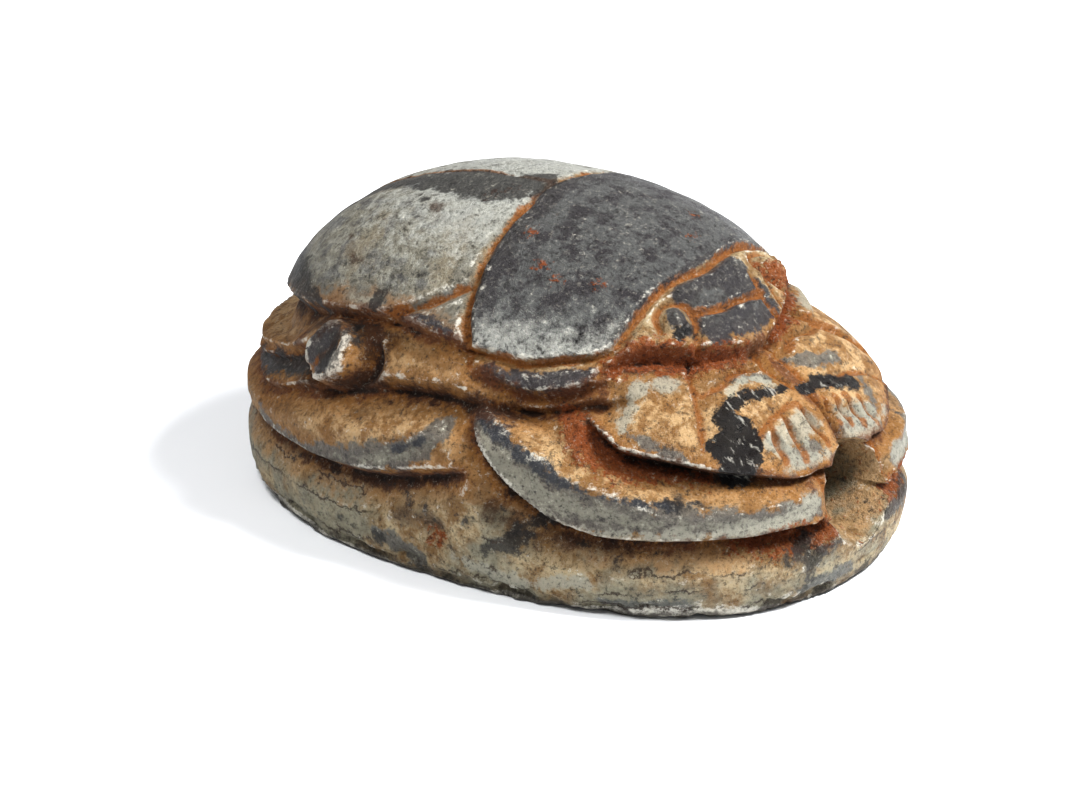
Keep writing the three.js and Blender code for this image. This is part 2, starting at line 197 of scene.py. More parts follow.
# Lines of the carving. Each point is x, y, z near the blank's skin, and the depth there.
# above, below: how far the two slopes reach, where "up" (z unless given) tells above.
# Lines are laid out on the beetle's right (-X) and mirrored, unless side is "right" or "left".
# Cuts of one dictionary don't add up, the deepest counts. Broad and fine cuts do add up.
broadCuts = {
    # the ledge under the side edges of the shield
    "shieldLip": {"above": 0.25, "below": 1.6, "line": [
        (-7.0, -0.9, 7.35, 0.2), (-6.85, -2.6, 7.0, 0.5), (-6.4, -4.0, 7.1, 0.55),
        (-5.7, -4.9, 7.5, 0.4)]},
    # the overhang of the wing cases
    "wingRim": {"above": 0.22, "below": 2.3, "line": [
        (-6.7, -0.05, 8.05, 0.4), (-6.68, 1.3, 8.15, 0.5), (-6.5, 3.3, 8.15, 0.6),
        (-6.3, 5.0, 7.85, 0.65), (-5.9, 6.6, 7.5, 0.7), (-5.2, 8.0, 7.15, 0.75),
        (-3.9, 9.4, 6.9, 0.75), (-2.0, 10.4, 6.8, 0.7), (0, 10.65, 6.75, 0.7)]},
    # the crease between the body and the tops of the legs
    "legCrease": {"above": 0.55, "below": 1.5, "line": [
        (-5.9, -5.0, 6.9, 0.6), (-6.9, -3.3, 6.5, 0.75), (-7.25, -1.2, 6.35, 0.7),
        (-7.25, 0.6, 6.3, 0.65), (-7.3, 2.4, 6.0, 0.7), (-7.1, 4.6, 5.4, 0.6),
        (-6.9, 6.6, 4.9, 0.45), (-6.2, 8.6, 4.2, 0.35), (-4.2, 10.6, 4.2, 0.3),
        (0, 11.7, 4.2, 0.3)]},
    # under the front leg, down to the plinth
    "frontLegUndercut": {"above": 0.4, "below": 1.3, "line": [
        (-7.45, -0.9, 6.3, 0.45), (-7.85, -1.35, 5.4, 0.75), (-8.2, -2.3, 4.4, 0.95),
        (-8.25, -3.9, 3.3, 1.0), (-8.0, -5.0, 2.9, 0.95), (-7.5, -6.6, 2.7, 0.9),
        (-6.7, -8.3, 2.7, 0.85), (-5.6, -9.8, 2.75, 0.8), (-4.0, -11.05, 2.8, 0.8),
        (-2.3, -11.75, 2.8, 0.7)]},
    # under the middle leg
    "middleLegUndercut": {"above": 0.5, "below": 1.1, "line": [
        (-8.35, -1.0, 4.1, 0.4), (-8.42, 0.1, 3.7, 0.7), (-8.46, 2.0, 3.1, 0.75),
        (-8.3, 3.5, 2.85, 0.75), (-7.7, 6.2, 2.8, 0.65), (-5.2, 10.0, 2.8, 0.6),
        (-2.2, 11.7, 2.8, 0.5)]},
    # the step behind the stub of the hind leg
    "hindLegEnd": {"above": 0.8, "below": 0.6, "up": (0, -1, 0), "line": [
        (-6.2, 7.0, 6.4, 0.1), (-6.5, 6.6, 5.8, 0.4), (-6.9, 5.9, 5.4, 0.4)]},
    # the hollow before the stub of the hind leg
    "stubHollow": {"above": 0.8, "below": 0.5, "up": (0, -1, 0), "line": [
        (-6.8, 3.7, 7.6, 0.5), (-7.05, 3.6, 6.9, 0.85), (-7.2, 3.8, 6.2, 0.7),
        (-7.2, 4.4, 5.6, 0.3)]},
    # the sloping outer face of the hind leg
    "hindFacet": {"above": 0.15, "below": 1.3, "line": [
        (-6.9, 6.1, 6.0, 0.2), (-6.5, 7.0, 5.9, 0.4), (-5.8, 8.4, 5.2, 0.45),
        (-4.6, 10.1, 4.6, 0.35), (-2.6, 11.2, 4.4, 0.2)]},
    # between nape and shovel
    "neck": {"above": 0.4, "below": 1.05, "line": [
        (-5.4, -5.0, 7.9, 0.5), (-4.5, -5.75, 8.25, 0.75), (-3.5, -6.7, 8.15, 0.85),
        (-2.4, -7.35, 8.1, 0.75), (-0.95, -7.8, 7.9, 0.6), (0, -7.9, 7.8, 0.55)]},
    # between the cheek and the front leg
    "headChannel": {"above": 0.25, "below": 1.4, "line": [
        (-6.3, -4.6, 6.55, 0.5), (-6.75, -6.1, 5.8, 1.0), (-6.4, -7.3, 5.5, 1.25),
        (-5.7, -8.5, 5.2, 1.25), (-4.9, -9.6, 4.95, 1.0), (-3.9, -10.45, 4.8, 0.75),
        (-2.9, -11.1, 4.5, 0.6), (-1.6, -11.5, 4.5, 0.6), (0, -11.75, 4.6, 0.8)]},
    # planes the top of the shovel down towards its front edge
    "headTable": {"above": 4.5, "below": 4.5, "line": [
        (0, -8.2, 7.6, 0.2), (0, -9.5, 6.7, 0.4), (0, -11.3, 5.1, 0.4)]},
}

ridges = {
    # the edges where the top and outer faces of the legs meet
    "frontLegRidge": {"above": 0.6, "below": 2.4, "line": [
        (-7.3, -1.0, 6.6, 0.3), (-7.5, -1.7, 6.25, 0.75), (-7.65, -2.8, 5.9, 0.75),
        (-7.75, -4.2, 5.35, 0.6), (-7.65, -5.5, 4.85, 0.45), (-7.1, -7.2, 4.5, 0.32),
        (-5.9, -9.1, 4.2, 0.25), (-4.4, -10.5, 4.1, 0.2), (-3.0, -11.3, 4.0, 0.12)]},
    "middleLegRidge": {"above": 1.6, "below": 0.6, "line": [
        (-7.3, -0.3, 6.3, 0.1), (-7.8, 0.2, 5.45, 0.25), (-8.15, 1.9, 4.6, 0.28),
        (-8.1, 4.0, 3.95, 0.25), (-7.5, 6.6, 3.4, 0.25), (-6.5, 8.5, 3.55, 0.2),
        (-4.2, 10.8, 3.6, 0.15), (-1.9, 11.8, 3.7, 0.1)]},
    "hindLegRidge": {"above": 1.3, "below": 0.45, "line": [
        (-6.7, 4.7, 7.3, 0.55), (-6.5, 5.8, 6.8, 0.75), (-6.25, 6.8, 6.3, 0.55),
        (-5.7, 8.3, 5.7, 0.4), (-4.6, 9.9, 5.2, 0.35), (-2.6, 11.1, 5.0, 0.3),
        (0, 11.5, 5.0, 0.3)]},
    # the broken end of the hind leg
    "stub": {"above": 1.2, "below": 1.2, "flat": 0.7, "line": [
        (-6.9, 5.1, 6.95, 0.75), (-7.0, 5.2, 6.5, 0.85)]},
    # the ball of the eye
    "eyeKnob": {"above": 0.5, "below": 0.5, "line": [
        (-2.75, -6.0, 9.1, 0.25), (-2.9, -6.3, 8.8, 0.3)]},
}

fineCuts = {
    # between shield and wing cases
    "shieldLine": {"above": 0.24, "below": 0.24, "line": [
        (0.3, 0.95, 11.5, 0.16), (-1.56, 0.76, 11.4, 0.24), (-2.7, 0.78, 11.1, 0.3),
        (-3.95, 0.7, 10.55, 0.32), (-5.2, 0.46, 9.77, 0.34), (-6.0, 0.17, 9.0, 0.36),
        (-6.6, -0.25, 8.1, 0.36), (-6.95, -0.5, 7.4, 0.1)]},
    # the ends of the front legs beside the string hole
    "legTip": {"above": 0.5, "below": 0.5, "up": (-1, 0, 0), "line": [
        (-1.95, -11.75, 4.4, 0.35), (-1.85, -11.8, 3.7, 0.3), (-1.9, -11.8, 3.1, 0.3)]},
    "wingSeam": {"above": 0.12, "below": 0.12, "line": [
        (0, 0.9, 11.5, 0.06), (0, 4.2, 11.1, 0.08), (0, 7.8, 9.5, 0.1), (0, 10.5, 7.2, 0.1)]},
    # the small triangle at the shoulder
    "shoulderNotch": {"above": 0.2, "below": 0.42, "line": [
        (-5.3, 0.5, 9.65, 0.36), (-6.0, 1.72, 9.03, 0.34), (-6.5, 3.25, 8.28, 0.3)]},
    # the groove along the foot of the shield
    "shieldRim": {"above": 0.16, "below": 0.45, "line": [
        (-6.75, -0.2, 8.05, 0.3), (-6.6, -1.57, 7.94, 0.36), (-6.24, -2.94, 8.01, 0.38),
        (-5.46, -4.41, 8.24, 0.42), (-5.0, -4.9, 8.45, 0.42)]},
    "shieldFront": {"above": 0.2, "below": 0.4, "line": [
        (-5.35, -4.75, 8.15, 0.35), (-4.9, -4.95, 8.5, 0.38), (-4.25, -5.0, 8.95, 0.36),
        (-3.45, -5.05, 9.4, 0.34), (-2.1, -5.12, 9.86, 0.34), (-0.8, -5.3, 9.95, 0.32),
        (0, -5.4, 9.95, 0.32)]},
    # the bands of the nape
    "napeLine": {"above": 0.17, "below": 0.2, "side": "right", "line": [
        (-2.1, -6.3, 9.12, 0.28), (-1.1, -6.66, 9.05, 0.28), (0, -6.74, 9.04, 0.28),
        (1.1, -6.9, 8.85, 0.26)]},
    "napeLineLeft": {"above": 0.17, "below": 0.2, "side": "left", "line": [
        (0.5, -6.8, 8.95, 0.28), (1.2, -6.8, 8.9, 0.26)]},
    "napeDivider": {"above": 0.16, "below": 0.16, "up": (1, 0, 0), "side": "left", "line": [
        (1.45, -6.2, 9.3, 0.22), (1.2, -6.8, 8.9, 0.26), (1.15, -7.4, 8.4, 0.26),
        (1.25, -7.9, 7.7, 0.2)]},
    "napeOuter": {"above": 0.16, "below": 0.2, "up": (1, 0, 0), "side": "left", "line": [
        (2.05, -6.3, 9.1, 0.2), (1.8, -6.9, 8.6, 0.28), (1.8, -7.6, 7.9, 0.2)]},
    # round the eye
    "eyeRing": {"above": 0.26, "below": 0.26, "line": [
        (-3.5, -5.9, 8.9, 0.3), (-3.2, -5.5, 9.25, 0.3), (-2.6, -5.5, 9.5, 0.32),
        (-2.15, -5.95, 9.35, 0.32), (-2.25, -6.5, 8.9, 0.32), (-2.8, -6.95, 8.4, 0.32)]},
    # from the eye down to the front of the cheek
    "cheekSeam": {"above": 0.12, "below": 0.75, "up": (-1, 1, 0), "line": [
        (-3.45, -7.05, 7.75, 0.42), (-3.8, -7.4, 7.2, 0.4), (-4.35, -7.95, 6.6, 0.32),
        (-5.0, -8.65, 5.8, 0.2)]},
    # steps behind and before each lobe of the shovel
    "lobeBack": {"above": 0.55, "below": 0.12, "line": [
        (-3.7, -7.75, 7.15, 0.25), (-2.9, -8.0, 7.25, 0.38), (-1.9, -7.95, 7.4, 0.42),
        (-1.0, -8.3, 7.3, 0.35)]},
    "lobeFront": {"above": 0.9, "below": 0.14, "line": [
        (-4.9, -9.9, 4.9, 0.12), (-3.6, -9.75, 5.75, 0.16), (-2.6, -9.75, 6.2, 0.18),
        (-1.2, -9.85, 6.4, 0.16)]},
    # a dent across the end of the stub
    "stubBreak": {"above": 0.7, "below": 0.9, "up": (0, 1, 0), "line": [
        (-6.9, 4.7, 7.6, 0.12), (-7.05, 5.0, 6.8, 0.22), (-7.15, 5.6, 5.9, 0.18)]},
    # the recess under the tip of the front leg
    "mouthRecess": {"above": 0.2, "below": 0.5, "line": [
        (-5.4, -9.7, 2.75, 0.1), (-4.4, -10.6, 2.75, 0.4), (-3.2, -11.3, 2.7, 0.55),
        (-2.3, -11.75, 2.7, 0.5), (-1.7, -11.9, 2.7, 0.3)]},
    "browLeft": {"above": 0.5, "below": 0.3, "up": (-1, 0, 0), "line": [
        (-0.45, -7.9, 7.7, 0.3), (-0.5, -8.6, 7.2, 0.28), (-0.35, -9.4, 6.7, 0.12)]},
    # between the two lobes, over the mouth of the hole
    "lobeNotch": {"above": 0.45, "below": 0.45, "line": [
        (0, -9.4, 6.6, 0.12), (0, -10.3, 6.0, 0.25), (0, -11.0, 5.4, 0.5), (0, -11.5, 4.9, 0.8)]},
}

# teeth: short lens-shaped grooves, each from a top to a bottom point with the middle deepest
teeth = {
    "width": 0.28,
    "depth": 0.4,
    "topDepth": 0.02,
    "bottomDepth": 0.06,
    "right": [((-2.65, -9.8, 6.15), (-3.05, -10.7, 5.1)),
              ((-1.85, -9.8, 6.35), (-2.22, -11.05, 5.0)),
              ((-0.87, -9.95, 6.35), (-0.95, -11.15, 5.2))],
    "left": [((0.45, -10.2, 6.2), (0.35, -10.95, 5.5)), ((0.95, -10.25, 6.1), (0.85, -11.1, 5.3)),
             ((1.5, -10.35, 6.0), (1.5, -11.2, 5.1)), ((2.1, -10.5, 5.7), (2.2, -11.15, 4.9))],
}


def toothLines():
    # each groove is a fine cut through its top, the middle between the two points, its bottom
    lines = {}
    for side in ("right", "left"):
        for number, (top, bottom) in enumerate(teeth[side]):
            middle = [(t + b) / 2 for t, b in zip(top, bottom)]
            lines[side + "Tooth%d" % number] = {
                "above": teeth["width"], "below": teeth["width"], "side": side, "line": [
                    (*top, teeth["topDepth"]), (*middle, teeth["depth"]),
                    (*bottom, teeth["bottomDepth"])]}
    return lines


def smoothLine(points, stepsPerSpan=6):
    # Catmull-Rom through the points: each span is a cubic of the four points round it
    points = np.array(points, dtype=float)
    padded = np.vstack([2 * points[0] - points[1], points, 2 * points[-1] - points[-2]])
    t = np.arange(stepsPerSpan)[:, None] / stepsPerSpan
    spans = []
    for span in range(len(points) - 1):
        before, start, end, after = padded[span:span + 4]
        spans.append(0.5 * (2 * start + (end - before) * t
                            + (2 * before - 5 * start + 4 * end - after) * t ** 2
                            + (3 * start - before - 3 * end + after) * t ** 3))
    return np.vstack(spans + [points[-1:]])


def ontoSkin(points):
    # slides each point along a ray from inside the stone until it lies on the blank's skin
    centres = points * [0, search["sightShare"], 0] + [0, 0, stringHole["height"]]
    directions = points - centres
    directions /= np.linalg.norm(directions, axis=-1, keepdims=True)
    return skinAlong(centres, directions)


def foldedRight(points):
    # both flanks laid on the beetle's right: (-|x|, y, z)
    return np.stack([-np.abs(points[:, 0]), points[:, 1], points[:, 2]], axis=-1)


def nearBox(points, knots, reach):
    # which points lie in the box round a line, widened by `reach`
    return np.all((points > knots[:, :3].min(axis=0) - reach)
                  & (points < knots[:, :3].max(axis=0) + reach), axis=1)


def followLine(points, cut):
    # distance from each point to a cut's line, its depth there, and the side (+1 above, -1 below).
    # the side is the sign of offset . (outward x along), turned to agree with the cut's "up"
    knots = smoothLine(cut["line"])
    places, depths = ontoSkin(knots[:, :3]), knots[:, 3]
    up = np.array(cut.get("up", (0, 0, 1)))
    gap = np.full(len(points), search["farGap"])
    depth = np.zeros(len(points))
    side = np.ones(len(points))
    spans = zip(places[:-1], places[1:], depths[:-1], depths[1:])
    for start, end, startDepth, endDepth in spans:
        along = end - start
        middle = (start + end) / 2
        outward = np.array([middle[0], middle[1] / 2, middle[2] - stringHole["height"]])
        upward = np.cross(outward, along)
        upward *= 1 if upward @ up >= 0 else -1
        offset = points - start
        share = np.clip(offset @ along / (along @ along), 0, 1)
        offset = offset - share[:, None] * along
        distance = np.sqrt((offset ** 2).sum(axis=1))
        nearer = distance < gap
        gap = np.where(nearer, distance, gap)
        depth = np.where(nearer, startDepth + (endDepth - startDepth) * share, depth)
        side = np.where(nearer, np.sign(offset @ upward), side)
    return gap, depth, side


def cutInto(points, cuts):
    # the deepest of the cuts at each point, and the distance to the nearest line.
    # a cut is a V: (depth - fall) / (1 - flat), with fall = gap / width * greatest depth. it is
    # never below 0 or above depth, so flat is the share of the width that keeps the full depth
    folded = foldedRight(points)
    deepest = np.zeros(len(points))
    nearest = np.full(len(points), search["farCrease"])
    for cut in cuts.values():
        side = cut.get("side", "both")
        places = folded if side == "both" else points
        knots = np.array(cut["line"])
        reach = max(cut["above"], cut["below"], search["leastReach"]) + search["margin"]
        close = nearBox(places, knots, reach)
        if side == "left":
            close &= points[:, 0] > search["leftFrom"]
        if side == "right":
            close &= points[:, 0] < search["rightUntil"]
        gap, depth, above = followLine(places[close], cut)
        fall = gap / np.where(above > 0, cut["above"], cut["below"]) * knots[:, 3].max()
        cutHere = np.minimum(depth, (depth - fall) / (1 - cut.get("flat", 0)))
        deepest[close] = np.maximum(deepest[close], cutHere)
        nearest[close] = np.minimum(nearest[close], gap)
    return deepest, nearest


# what the hand and age did to the stone, in mm. a size is that of the noise's lumps
wear = {
    "tremor": 0.06,           # how far the hand strayed from each line
    "tremorSize": 1.3,
    "lumps": 0.07,
    "lumpSize": 2.4,
    "toolMarks": 0.03,
    "toolMarkSize": 0.55,
    "chips": [                # x, y, z, radius, depth
        (-8.4, -2.8, 0.0, 0.55, 0.4), (-8.55, -0.3, 1.75, 0.75, 0.22),
        (-3.0, -11.6, 2.1, 0.65, 0.3), (-8.3, 2.3, 2.1, 0.6, 0.18), (5.5, -9.8, 0.2, 0.8, 0.4),
        (8.3, 2.8, 0.2, 0.9, 0.35), (2.5, 11.7, 0.4, 0.8, 0.3), (-5.6, 9.6, 0.1, 0.7, 0.3),
        (-8.1, -5.0, 0.0, 0.5, 0.25), (-6.2, -9.2, 0.0, 0.5, 0.2), (7.5, -6.6, 4.4, 0.5, 0.2),
        (-2.9, -11.4, 4.1, 0.35, 0.12), (-5.3, 9.1, 7.0, 0.5, 0.2), (-6.9, 2.9, 7.6, 0.35, 0.2)],
    "chipSway": 0.2,          # raggedness of a chip's rim, as a share of its radius
    "chipGrain": 0.4,
    "crumbs": 0.13,           # height of the crumbs of rust that cake the neck
    "crumbSize": 0.3,
    "fineCrumbSize": 0.17,
    "fineCrumbShare": 0.6,
    "cakedStrokes": 4,        # how many strokes of the rust patch are caked
    "flakes": 0.3,            # depth of the split layers along the foot
    "flakeTop": 0.85,
    "flakeEdge": 0.3,         # over which flakes and caked rust die out
    "flakeSway": 0.25,
    "flakeSwaySize": 1.6,
    "layerSize": 1.1,
    "layerFlatness": 3.5,     # how many times longer than thick a layer is
    "thinLayerSize": 0.45,
    "thinLayerShare": 0.5,
    "thinLayerFlatness": 3,
    "layerRise": 0.15,
    "unworn": 0.02,           # the underside stays flat up to here
    "unwornEdge": 0.1,
}


def weathering(points):
    # lumps and tool marks everywhere, scooped chips: depth * (1 - (gap / radius)^2), split
    # layers along the foot, less the crumbs that rust has added
    loss = (wear["lumps"] * softNoise(points, wear["lumpSize"], 1)
            + wear["toolMarks"] * softNoise(points, wear["toolMarkSize"], 2))
    rim = softNoise(points, wear["chipGrain"], 3)
    for x, y, z, radius, depth in wear["chips"]:
        gap = np.linalg.norm(points - (x, y, z), axis=1) + wear["chipSway"] * radius * rim
        loss = np.maximum(loss, depth * (1 - (gap / radius) ** 2))
    thick = softNoise(points * [1, 1, wear["layerFlatness"]], wear["layerSize"], 4)
    thin = softNoise(points * [1, 1, wear["thinLayerFlatness"]], wear["thinLayerSize"], 5)
    layers = thick + wear["thinLayerShare"] * thin
    height = points[:, 2] + wear["flakeSway"] * softNoise(points, wear["flakeSwaySize"], 6)
    foot = np.clip((wear["flakeTop"] - height) / wear["flakeEdge"], 0, 1)
    caked = patchDepth(points, patches["rust"][:wear["cakedStrokes"]])
    caked = np.clip(caked / wear["flakeEdge"] + 1, 0, 1)
    crumbs = np.abs(softNoise(points, wear["crumbSize"], 7)
                    + wear["fineCrumbShare"] * softNoise(points, wear["fineCrumbSize"], 8))
    flakes = wear["flakes"] * foot * np.clip(layers + wear["layerRise"], 0, 1)
    return loss - wear["crumbs"] * caked * crumbs + flakes


# where the stone's colours lie, in strokes: x, y, z and half the width of the stroke there.
# strokes of three or more points that keep off the middle of the stone are mirrored
patches = {
    # grey outer faces of the legs, cheeks and lobes
    "grey": [
        [(-7.7, -1.4, 6.0, 0.5), (-7.95, -2.4, 5.2, 0.85), (-8.05, -3.5, 4.65, 0.95),
         (-7.95, -5.0, 4.05, 0.85), (-7.3, -7.0, 3.75, 0.7), (-6.5, -8.5, 3.65, 0.6),
         (-5.4, -9.8, 3.6, 0.55), (-4.2, -10.8, 3.55, 0.5), (-2.6, -11.6, 3.5, 0.4)],
        [(-7.45, -0.3, 6.0, 0.15), (-8.05, 0.3, 5.0, 0.45), (-8.3, 1.8, 4.1, 0.6),
         (-8.2, 4.0, 3.5, 0.45), (-7.4, 6.6, 3.1, 0.4), (-6.5, 8.4, 3.3, 0.3)],
        [(-8.55, 0.8, 0.7, 0.5), (-8.5, 2.4, 1.3, 0.2)],
        [(-7.6, -6.4, 0.5, 0.3), (-6.3, -8.9, 0.6, 0.35)],
        [(-3.2, -11.4, 0.6, 0.25), (-1.0, -12.0, 0.6, 0.3)],
        [(-6.1, -6.3, 6.15, 0.2), (-5.8, -7.4, 5.85, 0.35), (-5.5, -8.4, 5.4, 0.35)],
        [(0.6, -8.4, 7.2, 0.2), (1.8, -9.0, 6.85, 0.35), (2.6, -9.0, 6.6, 0.35)],
        [(-2.4, -7.9, 7.25, 0.2), (-0.9, -8.6, 7.05, 0.3)],
        [(-2.9, -9.9, 5.9, 0.2), (-2.5, -10.8, 5.2, 0.35), (-1.5, -10.9, 5.3, 0.4)],
        [(0.4, -11.0, 5.4, 0.3), (2.2, -11.0, 5.1, 0.4)]],
    # dark slate skin left on edges and knobs
    "slate": [
        [(-7.6, -1.3, 6.25, 0.35), (-7.75, -2.2, 5.85, 0.3), (-7.8, -3.4, 5.4, 0.22),
         (-7.8, -5.0, 4.8, 0.16), (-7.2, -7.0, 4.4, 0.1), (-6.4, -8.5, 4.2, 0.08)],
        [(-8.1, 0.5, 5.0, 0.15), (-8.2, 1.6, 4.4, 0.15)],
        [(-2.8, -6.0, 9.1, 0.4), (-2.8, -6.4, 8.8, 0.3)],
        [(-6.9, 5.2, 7.2, 0.6), (-6.95, 5.2, 6.5, 0.8)],
        [(-6.6, 7.0, 5.7, 0.3), (-5.9, 8.4, 5.0, 0.35), (-4.7, 10.0, 4.4, 0.3),
         (-2.8, 11.2, 4.3, 0.15)],
        [(-6.75, 0.6, 8.4, 0.3), (-6.6, 1.7, 8.6, 0.25), (-6.4, 2.8, 8.35, 0.1)],
        [(-7.0, -1.2, 7.5, 0.25), (-6.8, -2.7, 7.4, 0.45), (-6.3, -3.9, 7.5, 0.45),
         (-5.7, -4.6, 7.85, 0.25)],
        [(-0.95, 1.3, 11.4, 0.7), (-1.5, 2.4, 11.2, 0.8), (-1.3, 4.0, 11.0, 0.7),
         (-1.0, 6.0, 10.4, 0.4)]],
    # dark stains, the broken rear edge of the wing cases, and chips
    "dark": [
        [(-0.3, 1.4, 11.5, 0.9), (-1.0, 2.6, 11.3, 1.15), (-0.8, 4.6, 10.95, 0.85),
         (-0.6, 7.0, 10.1, 0.6), (-1.2, 8.8, 8.9, 0.8)],
        [(-6.0, 6.4, 7.8, 0.15), (-5.3, 7.4, 7.8, 0.45), (-4.2, 8.6, 7.8, 0.6),
         (-2.4, 9.7, 7.7, 0.7), (0, 10.2, 7.6, 0.8)],
        [(-5.2, 3.5, 9.6, 0.03), (-5.75, 3.65, 9.1, 0.12), (-6.2, 3.8, 8.6, 0.2)],
        [(-6.75, 6.3, 5.9, 0.3), (-6.3, 7.4, 5.4, 0.4), (-5.6, 8.8, 4.8, 0.35),
         (-4.4, 10.2, 4.4, 0.2)],
        [(-6.95, 4.7, 7.3, 0.35), (-7.05, 4.8, 6.5, 0.45)], [(-5.35, 2.5, 9.6, 0.12)],
        [(-8.5, 2.3, 0.95, 0.22)],
        [(-8.45, -2.2, 1.8, 0.15), (-8.3, -3.4, 2.4, 0.35), (-8.1, -4.4, 3.2, 0.2)],
        [(-3.8, -11.1, 2.0, 0.2), (-2.7, -11.55, 1.95, 0.35), (-1.4, -11.9, 1.95, 0.2)],
        [(-2.8, -11.5, 1.8, 0.4), (-2.95, -11.45, 1.0, 0.12)], [(-7.5, -6.8, 2.0, 0.1)],
        [(-8.5, -1.5, 2.7, 0.07)], [(-8.5, 0.4, 2.7, 0.08)], [(-8.5, 1.2, 2.75, 0.07)],
        [(-6.2, -8.5, 4.35, 0.14)], [(-5.8, -9.2, 4.2, 0.1)], [(-7.0, -7.7, 3.6, 0.12)],
        [(-8.5, 4.0, 1.2, 0.08)], [(-2.4, 4.6, 10.9, 0.1)]],
    # scratched black film over the shovel and the eye
    "black": [
        [(-0.6, -9.25, 6.7, 0.14), (-1.6, -8.9, 6.75, 0.25), (-2.6, -8.55, 6.75, 0.25),
         (-3.5, -8.35, 6.5, 0.35), (-3.6, -8.9, 6.15, 0.75), (-3.95, -9.2, 5.6, 0.9),
         (-4.4, -9.6, 5.0, 0.6)],
        [(-0.1, -9.65, 6.6, 0.2), (1.2, -9.7, 6.5, 0.36), (2.3, -10.0, 6.05, 0.4)],
        [(-3.1, -6.4, 8.7, 0.2), (-2.6, -6.5, 8.75, 0.24)]],
    # worn whitish stone
    "pale": [
        [(-3.0, -10.2, 5.7, 0.45), (-2.2, -10.4, 5.8, 0.55), (-0.95, -10.5, 5.95, 0.5)],
        [(0.6, -10.8, 5.6, 0.35), (1.4, -10.9, 5.5, 0.4), (2.3, -10.9, 5.2, 0.35)],
        [(-8.45, -1.0, 1.2, 0.15), (-8.3, -3.4, 0.8, 0.25), (-7.7, -5.9, 1.3, 0.2)],
        [(-7.9, -3.2, 4.3, 0.05), (-8.0, -5.2, 3.2, 0.15), (-7.3, -7.0, 3.15, 0.25),
         (-5.8, -9.4, 3.25, 0.3), (-4.0, -10.9, 3.4, 0.35), (-2.7, -11.5, 3.6, 0.35)],
        [(-3.1, -10.9, 4.9, 0.25), (-2.0, -11.2, 4.95, 0.25), (-1.2, -11.3, 4.95, 0.2)],
        [(0.4, -11.1, 5.1, 0.25), (2.2, -11.3, 4.8, 0.35)],
        [(-2.9, -8.2, 7.05, 0.12), (-1.8, -8.3, 7.2, 0.16), (-0.9, -9.0, 6.9, 0.12)],
        [(-6.2, -6.2, 6.4, 0.2), (-5.2, -6.0, 7.4, 0.3), (-4.2, -6.9, 7.5, 0.25)],
        [(-6.3, 3.6, 8.6, 0.1), (-6.0, 5.0, 8.3, 0.2)]],
    # dark brown dirt in the deepest creases
    "grime": [
        [(-6.85, 4.0, 7.6, 0.25), (-7.05, 3.5, 7.0, 0.4), (-7.2, 3.6, 6.2, 0.3),
         (-7.2, 4.4, 5.5, 0.15)],
        [(-6.7, 2.5, 7.8, 0.1), (-6.6, 4.6, 7.6, 0.25), (-6.1, 6.4, 7.2, 0.3),
         (-5.0, 8.4, 6.8, 0.25), (-2.8, 10.2, 6.5, 0.25), (0, 10.7, 6.5, 0.2)],
        [(-7.2, -2.4, 6.3, 0.2), (-7.3, -0.6, 6.25, 0.3), (-7.3, 1.2, 6.2, 0.15),
         (-7.3, 3.0, 5.8, 0.12)],
        [(-8.3, -0.8, 3.9, 0.15), (-8.45, 1.0, 3.25, 0.22), (-8.35, 3.2, 2.7, 0.18),
         (-7.7, 6.2, 2.7, 0.1)],
        [(-8.35, -2.4, 3.2, 0.25), (-8.3, -3.6, 2.6, 0.3), (-8.0, -5.2, 2.4, 0.15),
         (-7.2, -7.2, 2.4, 0.1)],
        [(-8.5, -0.2, 2.2, 0.25), (-8.5, 1.4, 2.2, 0.15)],
        [(-6.7, -5.0, 6.2, 0.3), (-6.6, -6.5, 5.6, 0.35), (-5.8, -8.3, 5.1, 0.25),
         (-4.2, -10.2, 4.8, 0.15)],
        [(-4.9, -5.5, 8.0, 0.15), (-3.6, -6.7, 8.05, 0.2), (-2.3, -7.4, 8.0, 0.15)],
        [(-6.9, 6.2, 5.3, 0.15), (-6.6, 6.8, 5.2, 0.2)],
        [(-4.1, 6.4, 9.5, 0.0), (-4.8, 5.9, 9.3, 0.02), (-5.3, 4.7, 9.25, -0.02)],
        [(-2.7, 4.0, 10.85, 0.02), (-3.2, 3.4, 10.8, 0.0)]],
    # crumbly rust in the neck and channels, and specks of it on the back
    "rust": [
        [(-5.2, -5.1, 7.9, 0.25), (-4.4, -5.7, 8.3, 0.5), (-3.5, -6.7, 8.1, 0.5),
         (-2.4, -7.4, 8.0, 0.35), (-1.0, -7.8, 7.9, 0.2)],
        [(-6.6, -4.2, 6.5, 0.35), (-6.95, -5.1, 5.95, 0.55), (-6.95, -6.2, 5.45, 0.5),
         (-6.55, -7.4, 5.15, 0.35), (-5.3, -9.2, 4.8, 0.1)],
        [(-5.2, -10.0, 2.65, 0.15), (-4.2, -10.8, 2.6, 0.4), (-3.0, -11.45, 2.55, 0.5),
         (-1.9, -11.85, 2.5, 0.4)],
        [(2.3, -6.2, 9.1, 0.3), (3.2, -6.6, 8.5, 0.5)], [(-2.9, -0.2, 11.0, 0.08)],
        [(-4.0, -1.4, 10.35, 0.08)], [(-4.2, -2.2, 10.1, 0.04)], [(-3.6, -3.5, 10.0, 0.05)],
        [(2.2, -3.4, 10.55, 0.06)], [(0.8, -4.2, 10.45, 0.04)], [(-8.5, -0.2, 1.65, 0.25)],
        [(-1.0, 1.8, 11.4, 0.06), (-1.8, 2.3, 11.25, 0.04)], [(-0.2, -11.9, 1.6, 0.1)]],
}

